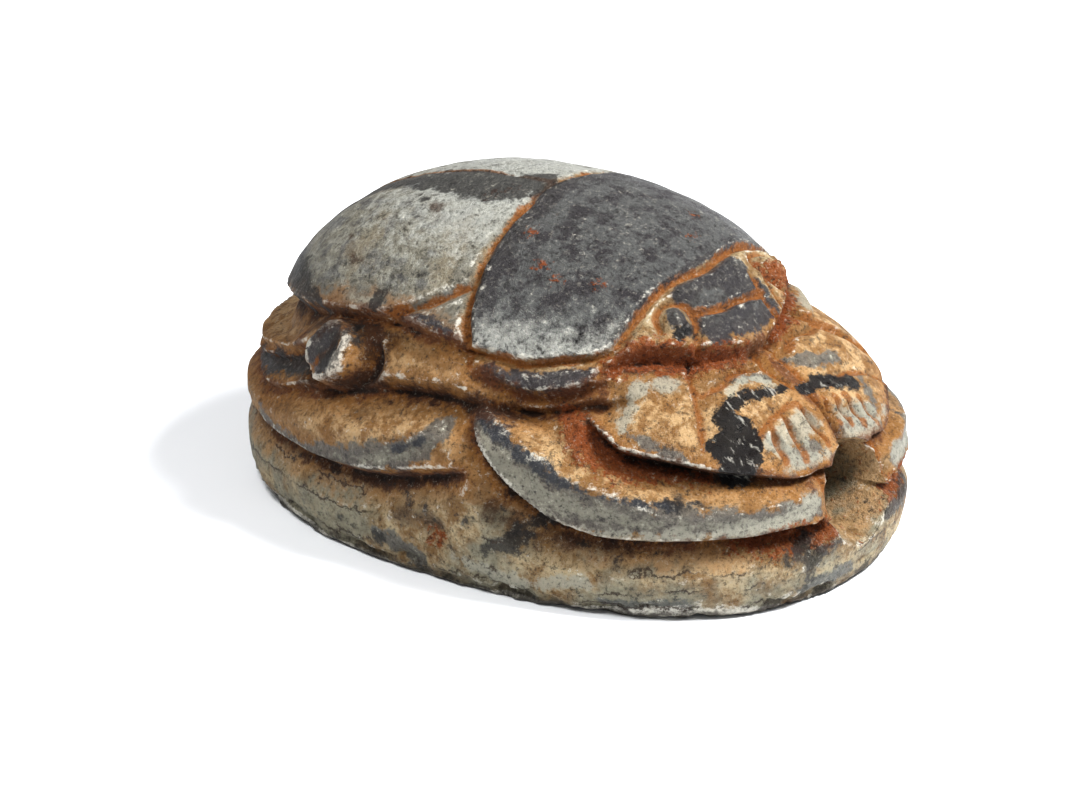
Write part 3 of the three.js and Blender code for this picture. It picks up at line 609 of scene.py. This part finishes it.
# cracks along the plinth's wall: distance along the stone (y) and height there
cracks = {
    "longCrack": [(-12.2, 1.3), (-11.2, 1.26), (-10.2, 1.21), (-8.7, 1.17), (-7, 0.98), (-5.3, 0.9),
        (-3.6, 1.0), (-2, 1.27), (-0.4, 1.53), (0.8, 1.56), (2.3, 1.87), (6, 1.7), (12, 1.5)],
    "upperCrack": [(-12.2, 1.9), (-9.25, 1.82), (-7.9, 1.72), (-6.3, 1.78), (-5.0, 2.02), (-2, 2.3),
        (12, 2.3)],
    "footCrack": [(-12.2, 0.4), (-9, 0.55), (-6, 0.45), (-3, 0.6), (0, 0.55), (3, 0.75), (7, 0.6),
        (12, 0.5)],
}

# borders of the two great smooth fields of the back: the shield and the wing cases
borders = {
    "shieldRear": [(0, 0.95), (1.56, 0.76), (2.7, 0.78), (3.95, 0.7), (5.2, 0.46), (6.0, 0.17),
        (6.95, -0.5)],
    "shieldFoot": [(-5.4, 10.1), (-5.2, 9.86), (-5.05, 9.4), (-5.0, 8.97), (-4.9, 8.45),
        (-4.41, 8.24), (-2.94, 8.01), (-1.57, 7.94), (-0.2, 8.05), (1.0, 8.05)],
    "wingFoot": [(-0.5, 8.05), (1.3, 8.15), (3.3, 8.15), (5.0, 7.85), (6.6, 7.5), (8.0, 7.15),
        (10.7, 6.75)],
}

# where plainer fields of colour lie
plainFields = {
    "napeMiddle": -0.4, "napeHalfWidth": 2.0, "napeBottom": 8.15, "napeRear": -5.3,
    "napeMost": 0.6,          # the nape's slate is no deeper inside than this, so not greyed
    "sheenTop": 9.6,          # the shield gets a painted sheen, a pale colour, below this height
    "sheenEdge": 4,           # it fades over 1 / 4 mm at the shield's border
    "flankBottom": 3.2,       # the tan stone under the wing cases reaches down to here
    "greenHeight": 3, "greenFall": 0.1, "greenSway": 0.3, "greenSize": 3.0,
    "scratchMost": 0.1,       # scratches take no point for deeper inside the film than this
}


def patchDepth(points, strokes):
    # how far inside a patch each point lies: half the width less the distance to its line
    folded = foldedRight(points)
    within = np.full(len(points), -1.0)
    for stroke in strokes:
        knots = np.array(stroke)
        lopsided = len(stroke) < 3 or knots[:, 0].max() > search["patchMiddle"]
        places = points if lopsided else folded
        close = nearBox(places, knots, search["patchMargin"])
        if len(stroke) == 1:
            spot = ontoSkin(knots[:, :3])[0]
            gap, width = np.linalg.norm(places[close] - spot, axis=1), knots[0, 3]
        else:
            gap, width, _ = followLine(places[close], {"line": stroke})
        within[close] = np.maximum(within[close], width - gap)
    return within


def lineAt(line, distance):
    # height or place of a line of straight spans at each distance
    return np.interp(distance, *np.array(line).T)


def colourFields(points):
    # mm inside (+) or outside (-) each patch, and the smooth fields of the back. a field is the
    # least of its distances to the borders round it
    plain = plainFields
    x, y, z = np.abs(points[:, 0]), points[:, 1], points[:, 2]
    found = {name + "Patch": patchDepth(points, strokes) for name, strokes in patches.items()}
    found["blackScratch"] = np.clip(found["blackPatch"], -1, plain["scratchMost"])
    rear = lineAt(borders["shieldRear"], x)
    shield = np.minimum(rear - y, z - lineAt(borders["shieldFoot"], y))
    nape = np.minimum(plain["napeHalfWidth"] - np.abs(points[:, 0] - plain["napeMiddle"]),
                      z - plain["napeBottom"])
    nape = np.minimum(nape, plain["napeRear"] - y)
    found["slatePatch"] = np.maximum.reduce([
        found["slatePatch"], np.clip(shield, -1, 1), np.clip(nape, -1, plain["napeMost"])])
    # painted sheen: a pale colour that grows down the shield below sheenTop, standing in for its
    # gleam
    found["shieldPaintedSheen"] = np.clip(plain["sheenEdge"] * shield, -1, 1) * (plain["sheenTop"] - z)
    wingFoot = lineAt(borders["wingFoot"], y)
    found["wingPatch"] = np.clip(np.minimum(y - rear, z - wingFoot), -1, 1)
    found["underWing"] = np.clip(np.minimum(wingFoot - z, z - plain["flankBottom"]), -1, 1)
    found["greenish"] = (plain["greenSway"] * softNoise(points, plain["greenSize"], 21)
                         - plain["greenFall"] * (z - plain["greenHeight"]))
    for name, line in cracks.items():
        found[name] = z - lineAt(line, y)
    return found


def spreadTilts():
    # rows from mouth to mouth, packed closer where the head is carved finely: the count of rows
    # grows by length / spacing along the spine, and is then cut into even steps
    tilt = np.linspace(0.0, math.pi, gridSteps["spineSamples"])
    origins, directions = rays(np.full_like(tilt, math.radians(gridSteps["spineTurn"])), tilt)
    spine = skinAlong(origins, directions)
    toMouth = blankShape["length"] / 2 - stringHole["sightSpread"]
    start = math.atan2(stringHole["headMouth"], toMouth)
    end = math.atan2(stringHole["tailMouth"], toMouth)
    spacing = np.interp(spine[:, 1], [gridSteps["headEnd"], gridSteps["tailStart"]],
                        [gridSteps["headSpacing"], gridSteps["tailSpacing"]])
    steps = np.linalg.norm(np.diff(spine, axis=0), axis=1) / spacing[1:]
    count = np.concatenate([[0], np.cumsum(steps)])
    first, last = np.interp([start, math.pi - end], tilt, count)
    return np.interp(np.linspace(first, last, int(last - first)), count, tilt)


def spreadTurns():
    # lines round the stone: fine over flanks and back, coarse under the flat base
    corner = math.atan2(stringHole["height"] + gridSteps["cornerHeight"], blankShape["width"] / 2)
    skin = np.linspace(-corner, math.pi + corner, gridSteps["roundSkin"], endpoint=False)
    underside = np.linspace(math.pi + corner, 2 * math.pi - corner, gridSteps["roundUnderside"],
                            endpoint=False)
    return np.concatenate([skin, underside])


def holeWall(rim, turn, endY, rows):
    # from a mouth's rim in to the round hole: the radius closes as (1 - s)^2, the depth as s
    height = stringHole["height"]
    rimRadius = np.hypot(rim[:, 0], rim[:, 2] - height)
    rings = []
    for share in np.linspace(0, 1, rows + 1)[1:]:
        radius = stringHole["radius"] + (rimRadius - stringHole["radius"]) * (1 - share) ** 2
        y = rim[:, 1] + (endY - rim[:, 1]) * share
        rings.append(np.stack([radius * np.cos(turn), y, height + radius * np.sin(turn)], axis=-1))
    return rings


def carvedSkin(turn, tilt):
    # skin of the blank, moved in along each ray by broad cut + fine cut - ridge + weathering,
    # and kept inside the blank's oval and above its underside
    origins, directions = rays(turn, tilt)
    skin = skinAlong(origins, directions)
    places = skin.reshape(-1, 3)
    stray = [softNoise(places, wear["tremorSize"], seed) for seed in (11, 12, 13)]
    strayed = places + wear["tremor"] * np.stack(stray, axis=-1)
    broad, creaseGap = cutInto(strayed, broadCuts)
    fine, lineGap = cutInto(strayed, {**fineCuts, **toothLines()})
    raised, _ = cutInto(strayed, ridges)
    standing = np.clip((places[:, 2] - wear["unworn"]) / wear["unwornEdge"], 0, 1)
    inward = standing * (broad + fine - raised + weathering(places))
    carved = skin - directions * inward.reshape(turn.shape)[..., None]
    overhang = ovalShare(carved[..., 0], carved[..., 1],
                         blankShape["width"] / 2, blankShape["length"] / 2)
    carved[..., :2] /= np.maximum(overhang, 1)[..., None]
    carved[..., 2] = np.maximum(carved[..., 2], 0)
    fields = {"nearCrease": -creaseGap, "nearLine": -lineGap, "nearFoot": -places[:, 2],
              **colourFields(places)}
    return carved, {name: values.reshape(turn.shape) for name, values in fields.items()}


# passes of blurring: 4 only soften the edges, 40 blur over about 0.8 mm for the depth of the
# hollows that sets the painted shade
reliefPasses = {"sharp": 4, "hollowShade": 40}


def beside(grid):
    # the four neighbours of each point on a grid that closes on itself both ways
    return [np.roll(grid, shift, axis) for axis in (0, 1) for shift in (1, -1)]


def blurred(points, passes):
    # each pass takes the mean of a point and its four neighbours
    for _ in range(passes):
        points = (points + sum(beside(points))) / 5
    return points


def relief(points):
    # sharp is how far a point stands out of the slightly blurred stone, hollowShade how far it lies
    # below the strongly blurred one, which sets the painted shade in hollows; both along the
    # normal: along x across, made 1 long
    before, after, left, right = beside(points)
    normals = np.cross(before - after, left - right)
    normals /= np.maximum(np.linalg.norm(normals, axis=-1, keepdims=True), 1e-9)
    near = blurred(points, reliefPasses["sharp"])
    far = blurred(near, reliefPasses["hollowShade"] - reliefPasses["sharp"])
    sharp = ((points - near) * normals).sum(axis=-1)
    hollowShade = ((far - points) * normals).sum(axis=-1)
    return sharp, hollowShade


# inside the string hole: fixed values of its fields, and the share of its hollow depth that counts
# for the painted shade
holeFields = {"greenish": 0.1, "nearCrease": -0.7, "rustPatch": -0.3}
holeHollowShare = 0.2


def scarabSurface():
    # rows of the outer skin, then of the hole's wall from the tail's mouth back to the head's
    turns, tilts = spreadTurns(), spreadTilts()
    turn, tilt = np.meshgrid(turns, tilts)
    outer, fields = carvedSkin(turn, tilt)
    inner = blankShape["length"] / 2 - stringHole["mouthLength"]
    headRings = holeWall(outer[0], turns, -inner, gridSteps["mouthRows"])
    tailRings = holeWall(outer[-1], turns, inner, gridSteps["mouthRows"])
    middleRings = [headRings[-1] + (tailRings[-1] - headRings[-1]) * share
                   for share in np.linspace(0, 1, gridSteps["holeRows"] + 1)[1:-1]]
    hole = np.array(tailRings + middleRings[::-1] + headRings[::-1])
    points = np.concatenate([outer, hole])
    for name, values in fields.items():
        within = np.full(hole.shape[:2], holeFields.get(name, -1.0))
        fields[name] = np.concatenate([values, within])
    # the depth below the strongly blurred stone sets the painted shade in the hollows
    fields["sharp"], fields["hollowShade"] = relief(points)
    fields["hollowShade"][len(outer):] *= holeHollowShare
    return points, fields


def closedGridMesh(name, points, attributes):
    # quads between neighbours on a grid that closes on itself both ways, like a ring
    rows, columns = points.shape[:2]
    index = np.arange(rows * columns).reshape(rows, columns)
    right, down = np.roll(index, -1, axis=1), np.roll(index, -1, axis=0)
    corner = np.roll(right, -1, axis=0)
    quads = np.stack([index, down, corner, right], axis=-1).reshape(-1, 4)
    mesh = bpy.data.meshes.new(name)
    mesh.vertices.add(rows * columns)
    mesh.vertices.foreach_set("co", (points.reshape(-1, 3) * metresPerMm).ravel())
    mesh.loops.add(quads.size)
    mesh.loops.foreach_set("vertex_index", quads.ravel())
    mesh.polygons.add(len(quads))
    mesh.polygons.foreach_set("loop_start", np.arange(0, quads.size, 4))
    mesh.polygons.foreach_set("use_smooth", np.ones(len(quads), dtype=bool))
    mesh.update(calc_edges=True)
    for key, values in attributes.items():
        attribute = mesh.attributes.new(key, "FLOAT", "POINT")
        attribute.data.foreach_set("value", values.ravel().astype(np.float32))
    mesh.validate()
    return mesh


def srgb(code):
    # hex colour to the linear values that a shader takes
    values = [int(code[i:i + 2], 16) / 255 for i in (1, 3, 5)]
    return [v / 12.92 if v <= 0.04045 else ((v + 0.055) / 1.055) ** 2.4 for v in values] + [1.0]


def addNode(tree, kind, settings=None, sockets=None):
    # one node: settings are its own properties, sockets take a value or another node's output
    node = tree.nodes.new("ShaderNode" + kind)
    for name, value in (settings or {}).items():
        setattr(node, name, value)
    for name, value in (sockets or {}).items():
        if isinstance(value, bpy.types.NodeSocket):
            tree.links.new(value, node.inputs[name])
        else:
            node.inputs[name].default_value = value
    return node


# Stains and skins of the soapstone, with a painted sheen and painted shade, from the bottom up:
# colour, a point field of the mesh in mm, where on it the coat starts and where it is full, the mm
# by which a noise sways that border, which noise, the most that the coat covers, and its roughness
stoneCoats = [
    # green-grey bloom, more towards the foot
    ("#767a6c", "greenish", -0.1, 0.35, 0.5, "clouds", 0.65, 0.5),
    # rubbed brown under the wing cases
    ("#7c5629", "underWing", -0.1, 0.4, 0.45, "clouds", 0.7, 0.65),
    # cream deeper inside that field
    ("#b89a70", "underWing", 0.85, 1.2, 0.55, "blots", 0.65, 0.6),
    # grey skin of the wing cases
    ("#62625a", "wingPatch", 0.02, 0.3, 0.2, "clouds", 0.85, 0.42),
    # pale wear on it
    ("#96968c", "wingPatch", 0.9, 1.2, 0.6, "flecks", 0.5, 0.42),
    # dark blots on it
    ("#45464a", "wingPatch", 0.95, 1.3, -0.6, "blots", 0.5, 0.45),
    # brown showing through it
    ("#857250", "wingPatch", 1.1, 1.4, -0.6, "clouds", 0.25, 0.45),
    # brown stain beside the creases
    ("#85571f", "nearCrease", -1.1, -0.35, 0.6, "blots", 0.6, 0.75),
    # grey faces of the legs
    ("#4b4d4b", "greyPatch", -0.05, 0.15, 0.35, "blots", 0.85, 0.42),
    # pale wear on them
    ("#8a8878", "greyPatch", 0.3, 0.75, 0.6, "flecks", 0.6, 0.45),
    # slate skin of shield, nape and edges
    ("#22252c", "slatePatch", -0.05, 0.12, 0.3, "blots", 0.93, 0.3),
    # greyer in its middle
    ("#595b5a", "slatePatch", 0.7, 1.15, 0.7, "blots", 0.5, 0.36),
    # painted sheen: pale colour low on the shield
    ("#9c9d96", "shieldPaintedSheen", 0.1, 1.6, 0.9, "flecks", 0.8, 0.2),
    # painted shade: brown in shallow hollows
    ("#7b5222", "hollowShade", 0.03, 0.13, 0.07, "blots", 0.6, 0.7),
    # worn whitish stone
    ("#908e80", "palePatch", -0.1, 0.15, 0.4, "blots", 0.78, 0.5),
    # whitish rims
    ("#cfcbbf", "sharp", 0.042, 0.085, 0.065, "flecks", 0.75, 0.5),
    # dark brown in the creases
    ("#552c0c", "nearCrease", -0.45, -0.1, 0.35, "blots", 0.85, 0.85),
    # dirt
    ("#331b09", "grimePatch", -0.3, 0.2, 0.45, "blots", 0.8, 0.85),
    # ochre dirt in the fine lines
    ("#7a4815", "nearLine", -0.18, -0.06, 0.14, "blots", 0.85, 0.85),
    # crumbly rust
    ("#74390d", "rustPatch", -0.15, 0.12, 0.4, "crumbs", 0.88, 0.92),
    # painted shade: nearly black in the deepest hollows
    ("#1c0c04", "hollowShade", 0.15, 0.3, 0.12, "blots", 0.88, 0.9),
    # dark stains
    ("#1f1c1a", "darkPatch", -0.15, 0.12, 0.4, "blots", 0.88, 0.5),
    # dark wear along the foot
    ("#2e2720", "nearFoot", -0.55, -0.1, 0.5, "blots", 0.85, 0.75),
]

# the same for the glossy black film that lies over everything else
blackCoats = [
    # black film
    ("#08080a", "blackPatch", -0.05, 0.05, 0.3, "flecks", 0.98, 0.28),
    # scratches through it
    ("#9d9a91", "blackScratch", 0.22, 0.45, 0.45, "scratches", 0.8, 0.5),
]

# noises by the size of their blotches in mm. dust and flecks are far coarser than the talc
# grains of the real stone, which are under 0.05 mm and wouldn't show
stoneGrain = {
    "clouds": {"size": 2.6, "detail": 4, "roughness": 0.62},
    "blots": {"size": 0.75, "detail": 6, "roughness": 0.7},
    "crumbs": {"size": 0.22, "detail": 4, "roughness": 0.7},
    "flecks": {"size": 0.5, "detail": 7, "roughness": 0.8, "stretch": (1, 1, 1.3)},
    "dust": {"size": 0.16, "detail": 5, "roughness": 0.8},
    "scratches": {"size": 1.6, "detail": 5, "roughness": 0.7, "stretch": (9, 1.2, 5)},
}

# specks: noise, where on it they start and are full, colour, strength
stoneSpecks = [
    ("dust", 0.55, 0.67, "#b5b0a2", 0.27), ("dust", 0.49, 0.35, "#15110d", 0.7),
    ("flecks", 0.59, 0.69, "#c4c0b2", 0.42), ("flecks", 0.44, 0.36, "#120f0d", 0.75),
    ("scratches", 0.66, 0.76, "#aeaba0", 0.25),
]

stoneBase = {
    "tan": "#6e522d", "cream": "#a69676",
    "ior": 1.56,              # talc is 1.54 to 1.59
    "shine": 0.3,             # dirt in the pores takes part of the reflection
    "roughness": 0.6,
    "mottle": (0.38, 0.62),   # part of the noise over which tan turns to cream
    "swing": (0.3, 0.7),      # part of a noise that is taken as its whole swing
    "bump": 0.8, "bumpDepth": 0.2,
    "rusty": (-0.4, 0.1),     # mm inside the rust patch over which its crumbs rise
    "crumbBump": (0.8, 3.0),  # how strongly crumbs stand out, bare and rusty
    "fleckRoughness": 0.5,    # what flecks add to the roughness, less their mean
    "fleckMean": 0.22,
}

# hairlines, in mm from a crack's line, and the part of the noise over which they are broken off
crackLook = {"colour": "#2c1c10", "edge": 0.065, "core": 0.02, "strength": 0.85,
             "wander": 0.22, "broken": (0.47, 0.53)}


def steatiteMaterial():
    # steatite (soapstone), carved with a graver and rubbed by handling: too soft for a true
    # polish, so faces have a satin, waxy gleam, rubbed edges go pale, and cuts stay dull and
    # hold dirt. each coat covers by smoothstep(field + noise, starts, full) * strength
    material = bpy.data.materials.new("steatite")
    material.use_nodes = True
    tree = material.node_tree
    shader = tree.nodes["Principled BSDF"]
    smooth = {"interpolation_type": "SMOOTHSTEP"}
    swingLow, swingHigh = stoneBase["swing"]
    place = addNode(tree, "TexCoord").outputs["Object"]
    inMm = addNode(tree, "VectorMath", {"operation": "SCALE"},
                   {"Vector": place, "Scale": 1 / metresPerMm}).outputs[0]
    grain = {}
    for name, noise in stoneGrain.items():
        stretched = addNode(tree, "VectorMath", {"operation": "MULTIPLY"},
                            {0: inMm, 1: noise.get("stretch", (1, 1, 1))}).outputs[0]
        grain[name] = addNode(tree, "TexNoise", {}, {
            "Vector": stretched, "Scale": 1 / noise["size"], "Detail": noise["detail"],
            "Roughness": noise["roughness"]}).outputs["Fac"]

    def tint(colour, code, cover):
        return addNode(tree, "Mix", {"data_type": "RGBA"},
                       {"Factor": cover, 6: colour, 7: srgb(code)}).outputs[2]

    def spread(coat, under):
        # covers the colour and roughness under it wherever field + noise passes starts
        code, fieldName, starts, full, sway, noise, strength, coatRoughness = coat
        field = addNode(tree, "Attribute", {"attribute_name": fieldName}).outputs["Fac"]
        swayed = addNode(tree, "MapRange", {"clamp": False}, {
            "Value": grain[noise], "From Min": swingLow, "From Max": swingHigh,
            "To Min": -sway, "To Max": sway}).outputs["Result"]
        border = addNode(tree, "Math", {"operation": "ADD"}, {0: field, 1: swayed}).outputs[0]
        cover = addNode(tree, "MapRange", smooth, {
            "Value": border, "From Min": starts, "From Max": full,
            "To Max": strength}).outputs["Result"]
        rougher = addNode(tree, "Mix", {"data_type": "FLOAT"},
                          {"Factor": cover, 2: under[1], 3: coatRoughness}).outputs[0]
        return tint(under[0], code, cover), rougher

    # the fresh stone: tan and cream, mottled
    mottle = addNode(tree, "MapRange", smooth, {
        "Value": grain["blots"], "From Min": stoneBase["mottle"][0],
        "From Max": stoneBase["mottle"][1]}).outputs["Result"]
    skin = (tint(srgb(stoneBase["tan"]), stoneBase["cream"], mottle), stoneBase["roughness"])
    for coat in stoneCoats:
        skin = spread(coat, skin)
    colour, roughness = skin

    # hairline cracks: brown where |height over the crack's line + noise| is nearly nothing
    for name in cracks:
        height = addNode(tree, "Attribute", {"attribute_name": name}).outputs["Fac"]
        wander = addNode(tree, "MapRange", {"clamp": False}, {
            "Value": grain["blots"], "From Min": swingLow, "From Max": swingHigh,
            "To Min": -crackLook["wander"], "To Max": crackLook["wander"]}).outputs["Result"]
        offset = addNode(tree, "Math", {"operation": "ADD"}, {0: height, 1: wander}).outputs[0]
        away = addNode(tree, "Math", {"operation": "ABSOLUTE"}, {0: offset}).outputs[0]
        cover = addNode(tree, "MapRange", smooth, {
            "Value": away, "From Min": crackLook["edge"], "From Max": crackLook["core"],
            "To Max": crackLook["strength"]}).outputs["Result"]
        broken = addNode(tree, "MapRange", smooth, {
            "Value": grain["clouds"], "From Min": crackLook["broken"][0],
            "From Max": crackLook["broken"][1]}).outputs["Result"]
        cover = addNode(tree, "Math", {"operation": "MULTIPLY"}, {0: cover, 1: broken}).outputs[0]
        colour = tint(colour, crackLook["colour"], cover)

    # light and dark grains over all of it, fine and coarse
    for noise, low, high, code, strength in stoneSpecks:
        cover = addNode(tree, "MapRange", smooth, {
            "Value": grain[noise], "From Min": low, "From Max": high,
            "To Max": strength}).outputs["Result"]
        colour = tint(colour, code, cover)

    for coat in blackCoats:
        colour, roughness = spread(coat, (colour, roughness))

    # bumps = crumbs * (more where rusty) + dust, and flecks make the gleam uneven
    rust = addNode(tree, "Attribute", {"attribute_name": "rustPatch"}).outputs["Fac"]
    rusty = addNode(tree, "MapRange", {}, {
        "Value": rust, "From Min": stoneBase["rusty"][0], "From Max": stoneBase["rusty"][1],
        "To Min": stoneBase["crumbBump"][0], "To Max": stoneBase["crumbBump"][1]}).outputs["Result"]
    bumps = addNode(tree, "Math", {"operation": "MULTIPLY_ADD"}, {
        0: grain["crumbs"], 1: rusty, 2: grain["dust"]}).outputs[0]
    lowered = addNode(tree, "Math", {"operation": "SUBTRACT"}, {
        0: roughness, 1: stoneBase["fleckMean"]}).outputs[0]
    dulled = addNode(tree, "Math", {"operation": "MULTIPLY_ADD", "use_clamp": True}, {
        0: grain["flecks"], 1: stoneBase["fleckRoughness"], 2: lowered}).outputs[0]
    bump = addNode(tree, "Bump", {}, {
        "Height": bumps, "Strength": stoneBase["bump"],
        "Distance": stoneBase["bumpDepth"] * metresPerMm}).outputs[0]
    tree.links.new(colour, shader.inputs["Base Color"])
    tree.links.new(dulled, shader.inputs["Roughness"])
    tree.links.new(bump, shader.inputs["Normal"])
    shader.inputs["IOR"].default_value = stoneBase["ior"]
    shader.inputs["Specular IOR Level"].default_value = stoneBase["shine"]
    print("steatite made:", len(tree.nodes), "nodes")
    return material


points, fields = scarabSurface()
scarab = bpy.data.objects.new("scarab_stone", closedGridMesh("scarab_stone", points, fields))
bpy.context.scene.collection.objects.link(scarab)
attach(scarab, "root")
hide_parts("scarab_amulet")
triangles = 2 * len(scarab.data.polygons)
print("stone carved:", len(scarab.data.vertices), "vertices,", triangles, "triangles")

scarab.data.materials.append(steatiteMaterial())

# the room: lengths in mm of the stone, angles in degrees
studio = {
    "floorSize": 600.0,
    "floorColour": "#eef0f3",
    "floorRoughness": 0.9,
    "airLight": 0.3,
    # name: azimuth, elevation, distance, size, watts
    "softBoxes": {"keyLight": (20, 52, 110, 34, 0.26), "sheenLight": (-90, 57, 120, 34, 0.1)},
    "cameraAzimuth": -55.29,
    "cameraElevation": 23.84,
    "cameraDistance": 200.0,
    "aimHeight": 4.5,
    "lens": 193.67,
    "shiftX": -0.0319,
    "shiftY": -0.0158,
}


def fromMiddle(azimuth, elevation):
    # (sin a cos e, -cos a cos e, sin e): azimuth 0 stands before the head, which looks along -Y
    a, e = math.radians(azimuth), math.radians(elevation)
    return Vector((math.sin(a) * math.cos(e), -math.cos(a) * math.cos(e), math.sin(e)))


aim = Vector((0, 0, studio["aimHeight"] * metresPerMm))


def softBox(name, azimuth, elevation, distance, size, power):
    # a square lamp that faces the stone
    lamp = bpy.data.lights.new(name, "AREA")
    lamp.size = size * metresPerMm
    lamp.energy = power
    holder = bpy.data.objects.new(name, lamp)
    bpy.context.scene.collection.objects.link(holder)
    direction = fromMiddle(azimuth, elevation)
    holder.location = aim + direction * distance * metresPerMm
    holder.rotation_euler = direction.to_track_quat("Z", "Y").to_euler()


floorMesh = bpy.data.meshes.new("floor")
half = studio["floorSize"] * metresPerMm / 2
floorCorners = [(-half, -half, 0), (half, -half, 0), (half, half, 0), (-half, half, 0)]
floorMesh.from_pydata(floorCorners, [], [(0, 1, 2, 3)])
floor = bpy.data.objects.new("floor", floorMesh)
bpy.context.scene.collection.objects.link(floor)
paper = bpy.data.materials.new("white paper")    # matt, uncoated, in a sheet: dull white
paper.use_nodes = True
paperShader = paper.node_tree.nodes["Principled BSDF"]
paperShader.inputs["Base Color"].default_value = srgb(studio["floorColour"])
paperShader.inputs["Roughness"].default_value = studio["floorRoughness"]
floorMesh.materials.append(paper)

for name, settings in studio["softBoxes"].items():
    softBox(name, *settings)

world = bpy.data.worlds.new("studio air")
bpy.context.scene.world = world
world.use_nodes = True
air = world.node_tree.nodes["Background"]
air.inputs["Color"].default_value = (1, 1, 1, 1)
air.inputs["Strength"].default_value = studio["airLight"]

camera = bpy.data.objects.new("camera", bpy.data.cameras.new("camera"))
bpy.context.scene.collection.objects.link(camera)
view = fromMiddle(studio["cameraAzimuth"], studio["cameraElevation"])
camera.location = aim + view * studio["cameraDistance"] * metresPerMm
camera.rotation_euler = view.to_track_quat("Z", "Y").to_euler()
camera.data.lens = studio["lens"]
camera.data.shift_x = studio["shiftX"]
camera.data.shift_y = studio["shiftY"]
camera.data.clip_start = 0.01
bpy.context.scene.camera = camera
bpy.context.scene.view_settings.view_transform = "Standard"
bpy.context.scene.view_settings.look = "Medium High Contrast"
print("studio set:", len(studio["softBoxes"]), "soft boxes, lens", studio["lens"], "mm")
